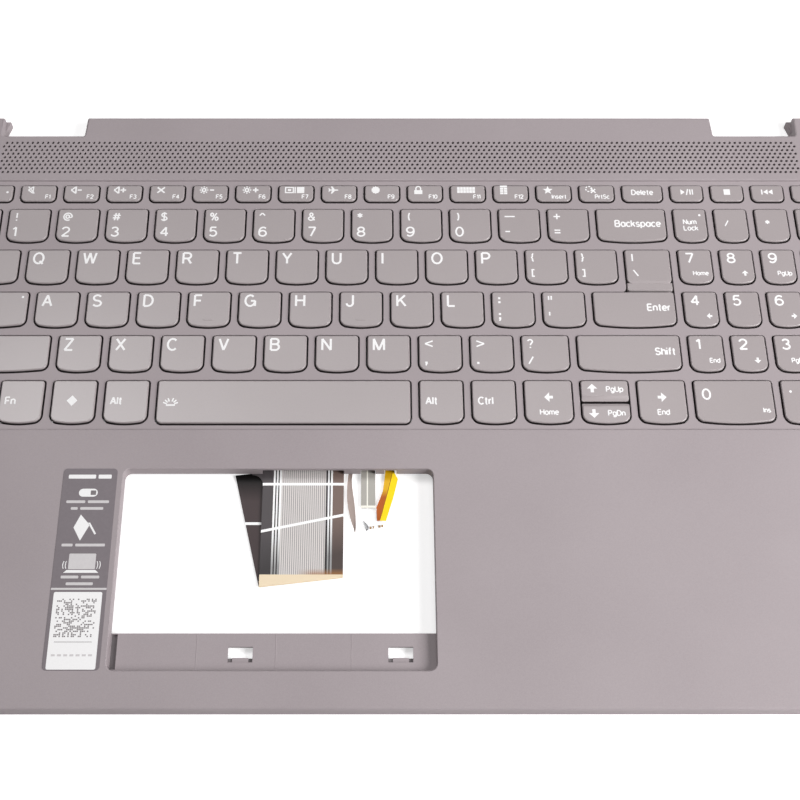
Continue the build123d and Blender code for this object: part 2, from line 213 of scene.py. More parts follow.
# %% Key grid
UNIT, PAD_UNIT, FUNCTION_UNIT, ARROW_UNIT = 19.05, 15.875, 16.87, 20.615
LETTER_ROW, FUNCTION_ROW, BOTTOM_ROW = 18.8, 11.2, 21.0
ESCAPE, GRAVE, BACKSPACE, TAB, CAPS = 18.065, 14.695, 29.905, 24.165, 29.675
LEFT_SHIFT, SLASH, CTRL = 39.905, 20.615, 20.85
WEB_X, WEB_Y, ARROW_GAP, KEY_GAP = 3.05, 3.4, 0.5, 0.5
KEYS_REAR = 88.65
MAIN_WIDTH = GRAVE + 12 * UNIT + BACKSPACE
KEYS_LEFT = -(MAIN_WIDTH + 4 * PAD_UNIT) / 2
PAD_LEFT = KEYS_LEFT + MAIN_WIDTH
keys = {}


def add_row(rear, slot_depth, left, row, fill=None):
    """Lays named slots side by side; a last key may fill the row to the main block's right end."""
    if fill:
        row = row + [(fill, MAIN_WIDTH - sum(width for _, width in row))]
    for name, slot_width in row:
        centre = (left + slot_width / 2, rear - slot_depth / 2)
        keys[name] = (*centre, slot_width - WEB_X, slot_depth - WEB_Y)
        left += slot_width


def same(names, width):
    """Slots of one width."""
    return [(name, width) for name in names]


print("key block:", round(-2 * KEYS_LEFT, 2), "mm wide")

# %% Rows of keys
rears = [KEYS_REAR - FUNCTION_ROW - step * LETTER_ROW for step in range(5)]
function_names = [f"f{number}" for number in range(1, 13)] + ["insert", "print_screen"]
number_names = list("1234567890") + ["minus", "equals"]
upper_names = list("qwertyuiop") + ["left_bracket", "right_bracket"]
home_names = list("asdfghjkl") + ["semicolon", "quote"]
lower_names = list("zxcvbnm") + ["comma", "period"]
media_names = ["play", "stop", "previous", "next"]
pad_signs = ["num_lock", "pad_divide", "pad_multiply", "pad_minus"]
top_row = [("escape", ESCAPE)] + same(function_names, FUNCTION_UNIT)
add_row(KEYS_REAR, FUNCTION_ROW, KEYS_LEFT, top_row, "delete")
add_row(rears[0], LETTER_ROW, KEYS_LEFT, [("grave", GRAVE)] + same(number_names, UNIT), "backspace")
add_row(rears[1], LETTER_ROW, KEYS_LEFT, [("tab", TAB)] + same(upper_names, UNIT), "backslash")
add_row(rears[2], LETTER_ROW, KEYS_LEFT, [("caps_lock", CAPS)] + same(home_names, UNIT), "enter")
lower_row = [("left_shift", LEFT_SHIFT)] + same(lower_names, UNIT) + [("slash", SLASH)]
add_row(rears[3], LETTER_ROW, KEYS_LEFT, lower_row, "right_shift")
space_slot = MAIN_WIDTH - CTRL - 5 * UNIT - 3 * ARROW_UNIT
bottom_row = [("left_ctrl", CTRL)] + same(("fn", "system", "left_alt"), UNIT) + [("space", space_slot)]
bottom_row += same(("right_alt", "right_ctrl"), UNIT)
bottom_row += same(("arrow_left", "arrow_pair", "arrow_right"), ARROW_UNIT)
add_row(rears[4], BOTTOM_ROW, KEYS_LEFT, bottom_row)
add_row(KEYS_REAR, FUNCTION_ROW, PAD_LEFT, same(media_names, PAD_UNIT))
add_row(rears[0], LETTER_ROW, PAD_LEFT, same(pad_signs, PAD_UNIT))
for row_rear, digits in zip(rears[1:4], ("789", "456", "123")):
    add_row(row_rear, LETTER_ROW, PAD_LEFT, same([f"pad_{digit}" for digit in digits], PAD_UNIT))
add_row(rears[4], BOTTOM_ROW, PAD_LEFT, [("pad_0", 2 * PAD_UNIT), ("pad_period", PAD_UNIT)])
add_row(rears[1], 2 * LETTER_ROW, PAD_LEFT + 3 * PAD_UNIT, [("pad_plus", PAD_UNIT)])
add_row(rears[3], LETTER_ROW + BOTTOM_ROW, PAD_LEFT + 3 * PAD_UNIT, [("pad_enter", PAD_UNIT)])
print("slots:", len(keys))

# %% Arrow pair, and which keys travel
holes = dict(keys)
pair_x, pair_y, pair_width, pair_depth = keys.pop("arrow_pair")
half_depth = (pair_depth - ARROW_GAP) / 2
for name, side in (("arrow_up", 1), ("arrow_down", -1)):
    keys[name] = (pair_x, pair_y + side * (half_depth + ARROW_GAP) / 2, pair_width, half_depth)
moving = [name for name in keys if "key_" + name in frame["nodes"]]
fixed = [name for name in keys if name not in moving]
rear_group = ["escape", *function_names, "delete", *media_names]
straight = [*rear_group, "space", "backslash", "arrow_up"]
boxes = {name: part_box("key_" + name) for name in moving}
drift = max(abs(boxes[name][0].x / MM - keys[name][0] + keys[name][2] / 2) for name in moving)
print(len(moving), "travelling and", len(fixed), "fixed keys")
print("the grid is within", round(drift, 4), "mm of the frame")

# %% [markdown]
# ## Shaping with rows of insets
# Nearly every rigid shape here is a flat outline with a stepped or rounded side. So each starts
# from one face with a few corners. A vertex bevel rounds the corners, and a row of insets, each a
# little inwards and a little up or down, makes walls, draft and rounded edges. A face that leads
# into a hollow is then removed, and what lies between such openings is filled in one go.

# %% Helpers for flat faces and their sides
FLAT_LIMIT, SHARP_ANGLE = 0.999, radians(40)


def flat_face(bm, corners, z):
    """A lone face through corners at one height."""
    face = bm.faces.new([bm.verts.new((x, y, z)) for x, y in corners])
    face.normal_update()
    return face


def rectangle(x, y, width, depth):
    """Corners of a rectangle, front left first and then round to the right."""
    return [(x + i * width / 2, y + j * depth / 2) for i, j in ((-1, -1), (1, -1), (1, 1), (-1, 1))]


def round_corners(bm, corners, radius, segments):
    """Rounds corners of a lone face and returns the face."""
    done = bmesh.ops.bevel(
        bm, geom=corners, affect="VERTICES", offset=radius, segments=segments, profile=0.5, material=-1
    )
    return done["verts"][0].link_faces[0]


def arc_rows(radius, segments, from_wall):
    """Rows for a rounded edge: from a wall onto a top, or from a top down into a hollow."""
    angles = [pi / 2 * step / segments for step in range(segments + 1)]
    rows = []
    for before, after in zip(angles, angles[1:]):
        turn = radius * (sin(after) - sin(before))
        fall = radius * (cos(before) - cos(after))
        rows.append((fall, turn) if from_wall else (turn, -fall))
    return rows


def step_face(bm, face, *rows):
    """Insets a face row by row, each inwards and along its normal, and returns it."""
    for inwards, along in rows:
        bmesh.ops.inset_individual(bm, faces=[face], thickness=inwards, depth=along, use_even_offset=True)
    return face


def open_face(bm, face):
    """Removes a face and leaves its edges."""
    bmesh.ops.delete(bm, geom=[face], context="FACES_ONLY")


def close_loop(bm, z):
    """Closes the open edges at one height with a single face that looks down."""
    rim = [edge for edge in bm.edges if edge.is_boundary and all(abs(v.co.z - z) < 1e-5 for v in edge.verts)]
    face = bmesh.ops.contextual_create(bm, geom=rim)["faces"][0]
    face.normal_update()
    if face.normal.z > 0:
        face.normal_flip()
    return face


print("helpers for faces ready")


# %% From a bmesh to a piece on its body
def finish_piece(bm, name, materials, body, replaced):
    """Turns a bmesh in millimetres into an object that rides on a body."""
    bmesh.ops.recalc_face_normals(bm, faces=bm.faces[:])
    for face in bm.faces:
        face.smooth = abs(face.normal.z) < FLAT_LIMIT
    for edge in bm.edges:
        edge.smooth = edge.is_manifold and edge.calc_face_angle(0) < SHARP_ANGLE
    bmesh.ops.scale(bm, vec=(MM, MM, MM), verts=bm.verts[:])
    mesh = bpy.data.meshes.new(name)
    bm.to_mesh(mesh)
    bm.free()
    piece = bpy.data.objects.new(name, mesh)
    bpy.context.scene.collection.objects.link(piece)
    for material in materials:
        mesh.materials.append(material)
    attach(piece, body)
    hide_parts(replaced)
    return piece


print("edges sharper than", round(SHARP_ANGLE, 2), "radians stay sharp")

# %% [markdown]
# ## The outline of a key
# A keycap has small rear corners, larger front corners and a front edge bowed towards the user.
# The holes in the cover follow the same outline, a little larger. The front edge is cut into short
# lengths first, and then every point near it moves back with the square of its distance from the
# middle, so the corner arcs lean with the bow.

# %% Key outline
FRONT_RADIUS, REAR_RADIUS, FRONT_BOW = 2.3, 1.2, 1.2
ARROW_RADIUS, ARROW_WALL = 0.9, 0.8
FRONT_CUTS = 9


def bowed_face(bm, corners, bow, grow, z, front_radius, rear_radius):
    """A key-shaped face; the first two corners are its front edge."""
    front_left, front_right = corners[:2]
    middle = (front_left[0] + front_right[0]) / 2
    half = (front_right[0] - front_left[0]) / 2
    face = flat_face(bm, corners, z)
    front, rear = face.verts[:2], face.verts[2:]
    round_corners(bm, front, front_radius + grow, 6)
    face = round_corners(bm, rear, rear_radius + grow, 4)
    limit = front_left[1] + 1e-4
    edge = [edge for edge in face.edges if all(v.co.y < limit for v in edge.verts)]
    bmesh.ops.subdivide_edges(bm, edges=edge, cuts=FRONT_CUTS)
    for vert in face.verts:
        if vert.co.y < limit + front_radius + grow:
            vert.co.y += bow * ((vert.co.x - middle) / half) ** 2
    return face


def grown(name, grow):
    """Corners about a key or a hole, larger all round by grow."""
    x, y, width, depth = holes.get(name) or keys[name]
    return rectangle(x, y, width + 2 * grow, depth + 2 * grow)


def key_face(bm, name, grow, z):
    """The face of a key, or of its hole if it grows."""
    bow = 0 if name in straight else FRONT_BOW
    front_radius = ARROW_RADIUS if name == "arrow_up" else FRONT_RADIUS
    rear_radius = ARROW_RADIUS if name == "arrow_down" else REAR_RADIUS
    return bowed_face(bm, grown(name, grow), bow, grow, z, front_radius, rear_radius)


print("key outline: front radius", FRONT_RADIUS, "rear radius", REAR_RADIUS, "bow", FRONT_BOW)

# %% [markdown]
# ## The palm rest cover
# On the real part this is one moulding: a rim, a palm rest with a window for the touchpad, a sunk
# well with a lattice of key holes, a strip of fine grille holes and two hinge notches. A boolean
# for each hole would leave ragged edges, so all openings are cut as faces in one plane, given their
# walls by insets, and the plane between them is filled last.

# %% Cover sizes
COVER_WIDTH, COVER_DEPTH, COVER_TOP = 359.0, 240.0, 6.5
SKIN_BOTTOM, DECK_TOP, DECK_BOTTOM, RIB_BOTTOM = 5.0, 5.6, 4.6, 2.5
RIM_WALL, EDGE_RADIUS, FRONT_CORNER, REAR_CORNER = 1.6, 0.8, 9.0, 5.0
BAR_HALF, BAR_SLANT, POST_X, NOTCH_Y, NOTCH_CORNER = 125.9, 0.6, 159.4, 111.0, 0.6
GUSSET_REACH, GUSSET_LENGTH, GUSSET_TOP = 1.7, 6.0, 3.5
WELL_MARGIN, WELL_CORNER, RIB_CLEARANCE, RIB_WALL = 1.0, 2.0, 0.5, 1.5
WINDOW = (-43.75, -70.95, 109.3, 72.3)
WINDOW_CORNER, LEDGE_Y, LEDGE_TOP, COLLAR_BOTTOM, COLLAR_WALL = 2.5, -93.5, 3.0, 1.8, 1.2
SLOT_X, SLOT_Y, SLOT_WIDTH, SLOT_DEPTH = (-54.65, -1.05), -100.75, 8.3, 5.3
BOSS_X, BOSS_Y, BOSS_RADIUS, BOSS_BOTTOM, SCREW_RADIUS, SCREW_DEPTH = 117.9, 114.0, 2.6, 0.6, 0.8, 3.6
keys_depth = FUNCTION_ROW + 4 * LETTER_ROW + BOTTOM_ROW
keys_y = KEYS_REAR - keys_depth / 2
keys_width = -2 * KEYS_LEFT
print("cover:", COVER_WIDTH, "by", COVER_DEPTH, "by", COVER_TOP, "mm")

# %% Rim, outer edge and hollow underside
cover = bmesh.new()
half_width, half_depth_cover = COVER_WIDTH / 2, COVER_DEPTH / 2


def cover_outline(inset):
    """The cover's outline with its hinge notches, drawn in by a distance; front corners first."""
    side, rear, step = half_width - inset, half_depth_cover - inset, NOTCH_Y - inset
    right_rear = [(side, rear), (POST_X + inset, rear), (POST_X + inset, step)]
    right_rear += [(BAR_HALF + BAR_SLANT - inset, step), (BAR_HALF - inset, rear)]
    left_rear = [(-x, y) for x, y in reversed(right_rear)]
    return [(-side, -rear), (side, -rear)] + right_rear + left_rear


face = flat_face(cover, cover_outline(0), 0)
corners = face.verts[:]
round_corners(cover, corners[:2], FRONT_CORNER, 12)
round_corners(cover, [corners[2], corners[-1]], REAR_CORNER, 10)
face = round_corners(cover, corners[3:-1], NOTCH_CORNER, 3)
step_face(cover, face, (0.0, COVER_TOP - EDGE_RADIUS), *arc_rows(EDGE_RADIUS, 4, from_wall=True))
open_face(cover, face)
face = flat_face(cover, cover_outline(RIM_WALL)[::-1], 0)
corners = face.verts[:]
face = round_corners(cover, corners[-2:], FRONT_CORNER - RIM_WALL, 8)
step_face(cover, face, (0.0, -SKIN_BOTTOM))
open_face(cover, face)
print("rim and edge:", len(cover.verts), "points")

# %% Well, key holes and rib
WELL_EDGE, WELL_DRAFT = 0.45, 0.1
well = rectangle(0, keys_y, keys_width + 2 * WELL_MARGIN, keys_depth + 2 * WELL_MARGIN)
face = flat_face(cover, well, COVER_TOP)
face = round_corners(cover, face.verts[:], WELL_CORNER, 6)
well_wall = (WELL_DRAFT, DECK_TOP - COVER_TOP + WELL_EDGE)
step_face(cover, face, *arc_rows(WELL_EDGE, 3, from_wall=False), well_wall)
open_face(cover, face)
HOLE_EDGE, HOLE_GAP = 0.18, 0.36
hole_rows = arc_rows(HOLE_EDGE, 2, from_wall=False) + [(0.0, DECK_BOTTOM - DECK_TOP + HOLE_EDGE)]
grow = HOLE_GAP + HOLE_EDGE
for name in holes:
    if name == "backslash":
        continue
    if name == "enter":
        # The backslash reaches down to this key, so the two share one hole
        hole, above = grown("enter", grow), grown("backslash", grow)
        hole[2:3] = [above[2], above[3], (above[3][0], hole[2][1])]
        face = bowed_face(cover, hole, FRONT_BOW, grow, DECK_TOP, FRONT_RADIUS, REAR_RADIUS)
    else:
        face = key_face(cover, name, grow, DECK_TOP)
    step_face(cover, face, *hole_rows)
    open_face(cover, face)
rib_width, rib_depth = keys_width + 2 * RIB_CLEARANCE, keys_depth + 2 * RIB_CLEARANCE
rib = rectangle(0, keys_y, rib_width + 2 * RIB_WALL, rib_depth + 2 * RIB_WALL)
face = flat_face(cover, rib[::-1], SKIN_BOTTOM)
step_face(cover, face, (0.0, SKIN_BOTTOM - RIB_BOTTOM), (RIB_WALL, 0.0), (0.0, RIB_BOTTOM - DECK_BOTTOM))
open_face(cover, face)
print("key holes:", len(holes) - 1, "and", len(cover.verts), "points so far")

# %% Touchpad window, its collar and its ledge
WINDOW_EDGE = 0.3
window_x, window_y, window_width, window_depth = WINDOW
hole = rectangle(window_x, window_y, window_width + 2 * WINDOW_EDGE, window_depth + 2 * WINDOW_EDGE)
hole = hole[:2] + [(hole[1][0], LEDGE_Y)] + hole[2:] + [(hole[0][0], LEDGE_Y)]
face = flat_face(cover, hole, COVER_TOP)
corners = face.verts[:]
face = round_corners(cover, corners[:2] + corners[3:5], WINDOW_CORNER + WINDOW_EDGE, 7)
step_face(cover, face, *arc_rows(WINDOW_EDGE, 3, from_wall=False), (0.0, LEDGE_TOP - COVER_TOP + WINDOW_EDGE))
ledge_ends = [vert for vert in face.verts if abs(vert.co.y - LEDGE_Y) < 1e-4]
opening = [edge for edge in face.edges if min(v.co.y for v in edge.verts) > LEDGE_Y - 1e-4]
open_face(cover, face)
opening.append(cover.edges.new(ledge_ends))
lowered = bmesh.ops.extrude_edge_only(cover, edges=opening)["geom"]
drop = [vert for vert in lowered if isinstance(vert, bmesh.types.BMVert)]
bmesh.ops.translate(cover, vec=(0, 0, COLLAR_BOTTOM - LEDGE_TOP), verts=drop)
for slot_x in SLOT_X:
    face = flat_face(cover, rectangle(slot_x, SLOT_Y, SLOT_WIDTH, SLOT_DEPTH), LEDGE_TOP)
    step_face(cover, face, (0.0, COLLAR_BOTTOM - LEDGE_TOP))
    open_face(cover, face)
print("slots in the ledge:", len(SLOT_X))

# %% Groove in the ledge, and the collar
window_left, window_front = window_x - window_width / 2, window_y - window_depth / 2
GROOVE_WIDTH, GROOVE_DEPTH, GROOVE_MARGIN = 2.1, 1.0, 0.3
groove_depth = LEDGE_Y - window_front - WINDOW_CORNER / 2 - GROOVE_MARGIN
groove_y = LEDGE_Y - GROOVE_MARGIN - groove_depth / 2
groove_x = window_left + GROOVE_MARGIN + GROOVE_WIDTH / 2
face = flat_face(cover, rectangle(groove_x, groove_y, GROOVE_WIDTH, groove_depth), LEDGE_TOP)
step_face(cover, face, (0.0, -GROOVE_DEPTH))
# The groove's floor takes the dark grey, as painted shade
face.material_index = 1
collar = rectangle(window_x, window_y, window_width + 2 * COLLAR_WALL, window_depth + 2 * COLLAR_WALL)
face = flat_face(cover, collar[::-1], SKIN_BOTTOM)
step_face(cover, face, (0.0, SKIN_BOTTOM - COLLAR_BOTTOM))
open_face(cover, face)
print("window:", window_width, "by", window_depth, "mm with a ledge of", round(LEDGE_Y - window_front, 1))

# %% Notches in the collar, where the tails pass under the skin
# The limit lies in the rounded edge of the window, so that only the straight wall under it counts
NOTCHES, WALL_LIMIT = ((-49.7, -20.7), (-14.7, -9.4), (-6.3, -2.0)), COVER_TOP - 0.2
rear_inner = window_y + window_depth / 2
rear_outer = rear_inner + COLLAR_WALL


def on_rear_wall(part):
    """Whether all points of a face lie on the collar's rear wall, or a point does."""
    points = part.verts if isinstance(part, bmesh.types.BMFace) else [part]
    return all(rear_inner - 1e-3 < v.co.y < rear_outer + 1e-3 and v.co.z < WALL_LIMIT for v in points)


for left, right in NOTCHES:
    cuts = [((left, 0, 0), (1, 0, 0)), ((right, 0, 0), (1, 0, 0)), ((0, 0, SKIN_BOTTOM), (0, 0, 1))]
    for place, normal in cuts:
        walls = [face for face in cover.faces if on_rear_wall(face)]
        parts = {part for face in walls for part in (*face.verts, *face.edges)}
        bmesh.ops.bisect_plane(cover, geom=walls + list(parts), plane_co=place, plane_no=normal)
    cut = [face for face in cover.faces if on_rear_wall(face)]
    middles = [(face, face.calc_center_median()) for face in cut]
    cut = [face for face, middle in middles if left < middle.x < right and middle.z < SKIN_BOTTOM]
    bmesh.ops.delete(cover, geom=cut, context="FACES")
    for x in (left, right):
        rim = [v for v in cover.verts if on_rear_wall(v) and abs(v.co.x - x) < 1e-3]
        rim = [v for v in rim if v.co.z < SKIN_BOTTOM + 1e-3]
        inner = sorted((v for v in rim if v.co.y < rear_inner + 1e-3), key=lambda v: -v.co.z)
        outer = sorted((v for v in rim if v.co.y > rear_outer - 1e-3), key=lambda v: v.co.z)
        cover.faces.new(inner + outer)
print("notches:", len(NOTCHES), "in the rear wall at", round(rear_inner, 1))

# %% Grille holes and screw bosses
GRILLE_PITCH, GRILLE_ROW, GRILLE_ROWS, GRILLE_FRONT = 2.055, 1.78, 9, 93.2
GRILLE_HALF, GRILLE_RADIUS, GRILLE_EDGE, GRILLE_SIDES, GRILLE_MARGIN = 158.4, 0.575, 0.06, 8, 20.5
BOSS_ROUND = 0.98 * BOSS_RADIUS  # a bevel of the full radius would leave sides without length
MESH_BORDER, MESH_RECESS, GRILLE_DEPTH = 0.6, 0.6, 16.2
mesh_ceiling = SKIN_BOTTOM + MESH_RECESS
grille = []
for row in range(GRILLE_ROWS):
    y = GRILLE_FRONT + row * GRILLE_ROW
    count = int(2 * GRILLE_HALF / GRILLE_PITCH) + row % 2
    for column in range(count):
        x = (column - (count - 1) / 2) * GRILLE_PITCH
        turn = Matrix.Translation((x, y, COVER_TOP)) @ Matrix.Rotation(pi / GRILLE_SIDES, 4, "Z")
        ring = bmesh.ops.create_circle(
            cover, cap_ends=True, radius=GRILLE_RADIUS + GRILLE_EDGE, segments=GRILLE_SIDES, matrix=turn
        )
        grille.append(ring["verts"][0].link_faces[0])
for inwards, along in ((GRILLE_EDGE, -GRILLE_EDGE), (0.0, mesh_ceiling - COVER_TOP + GRILLE_EDGE)):
    bmesh.ops.inset_individual(cover, faces=grille, thickness=inwards, depth=along, use_even_offset=True)
bmesh.ops.delete(cover, geom=grille, context="FACES_ONLY")
grille_y = GRILLE_FRONT + (GRILLE_ROWS - 1) / 2 * GRILLE_ROW
mesh_width = COVER_WIDTH - 2 * GRILLE_MARGIN
recess = rectangle(0, grille_y, mesh_width + 2 * MESH_BORDER, GRILLE_DEPTH + 2 * MESH_BORDER)
face = flat_face(cover, recess[::-1], SKIN_BOTTOM)
step_face(cover, face, (0.0, -MESH_RECESS))
open_face(cover, face)
boss_rows = [(0.0, SKIN_BOTTOM - BOSS_BOTTOM), (BOSS_RADIUS - SCREW_RADIUS, 0.0), (0.0, -SCREW_DEPTH)]
for x in (-BOSS_X, BOSS_X):
    for y in (-BOSS_Y, BOSS_Y):
        face = flat_face(cover, rectangle(x, y, 2 * BOSS_RADIUS, 2 * BOSS_RADIUS)[::-1], SKIN_BOTTOM)
        face = round_corners(cover, face.verts[:], BOSS_ROUND, 4)
        step_face(cover, face, *boss_rows)
print("grille holes:", len(grille))

# %% Fill the planes between the openings
for level in (COVER_TOP, DECK_TOP, SKIN_BOTTOM, DECK_BOTTOM, LEDGE_TOP, COLLAR_BOTTOM, 0):
    rim = [e for e in cover.edges if e.is_boundary and all(abs(v.co.z - level) < 1e-4 for v in e.verts)]
    filled = bmesh.ops.triangle_fill(cover, use_beauty=True, edges=rim, normal=(0, 0, 1))
    print("height", level, "filled with", len(filled["geom"]), "new parts")

# %% Lines and hooks on the ledge, and gussets by the hinge notches
BLOCK_EDGE = 0.04
LINE_X, LINE_WIDTH, LINE_RISE, LINE_SINK = (-69.3, -42.8, -17.5), 0.3, 0.06, 0.2
LINE_FRONT_GAP, LINE_REAR_GAP = 1.0, 0.3
HOOK_WIDTH, HOOK_DEPTH, HOOK_LIFT, HOOK_TOP = 5.4, 1.7, 0.05, 2.4
SHADE_BLOCK_DEPTH, SHADE_BLOCK_LIFT, SHADE_BLOCK_RISE, GUSSET_SINK = 1.6, 0.02, 0.2, 0.2


def add_block(bm, x, y, width, depth, low, high, finish=0):
    """A small block with a fine bevel round its top."""
    known = set(bm.faces)
    face = flat_face(bm, rectangle(x, y, width, depth), low)
    step_face(bm, face, (0.0, high - low - BLOCK_EDGE), (BLOCK_EDGE, BLOCK_EDGE))
    close_loop(bm, low)
    for face in set(bm.faces) - known:
        face.material_index = finish


line_front, line_rear = window_front + LINE_FRONT_GAP, LEDGE_Y - LINE_REAR_GAP
line_y, line_length = (line_front + line_rear) / 2, line_rear - line_front
for x in LINE_X:
    add_block(cover, x, line_y, LINE_WIDTH, line_length, LEDGE_TOP - LINE_SINK, LEDGE_TOP + LINE_RISE)
slot_front = SLOT_Y - SLOT_DEPTH / 2
hook_y, shade_block_y = slot_front + HOOK_DEPTH / 2, slot_front + SHADE_BLOCK_DEPTH / 2
shade_block_width = (SLOT_WIDTH - HOOK_WIDTH) / 2
shade_block_low, shade_block_high = COLLAR_BOTTOM + SHADE_BLOCK_LIFT, COLLAR_BOTTOM + SHADE_BLOCK_RISE
for slot_x in SLOT_X:
    add_block(cover, slot_x, hook_y, HOOK_WIDTH, HOOK_DEPTH, COLLAR_BOTTOM + HOOK_LIFT, HOOK_TOP)
    # Dark grey blocks in the slot's corners, painted shade
    for side in (-1, 1):
        x = slot_x + side * (HOOK_WIDTH + SLOT_WIDTH) / 4
        add_block(cover, x, shade_block_y, shade_block_width, SHADE_BLOCK_DEPTH, shade_block_low, shade_block_high, 1)
for side in (-1, 1):
    root_x, tip_x = side * (POST_X + GUSSET_SINK), side * (POST_X - GUSSET_REACH)
    rear = half_depth_cover
    face = flat_face(cover, [(root_x, rear - GUSSET_LENGTH), (root_x, rear), (tip_x, rear)], 0)
    lifted = bmesh.ops.extrude_face_region(cover, geom=[face])["geom"]
    lifted = [vert for vert in lifted if isinstance(vert, bmesh.types.BMVert)]
    bmesh.ops.translate(cover, vec=(0, 0, GUSSET_TOP), verts=lifted)
open_edges = sum(edge.is_boundary for edge in cover.edges)
palm_rest = finish_piece(
    cover, "palm_rest_cover", [cover_plastic, hollow_shade_grey], "palmrest", "palmrest_cover"
)
print("palm rest:", len(palm_rest.data.polygons), "faces,", open_edges, "open edges")

# %% [markdown]
# ## Legends drawn with a pen
# A font would be the quick way, but keyboards use plain engraver's letters: strokes of one width.
# So each sign is a few strokes on a small grid, ten units high, and a stroke is points and arcs.
# An arc gives its centre, its two radii and its two angles. A curve with a flat profile then
# draws each stroke as a ribbon of ink.

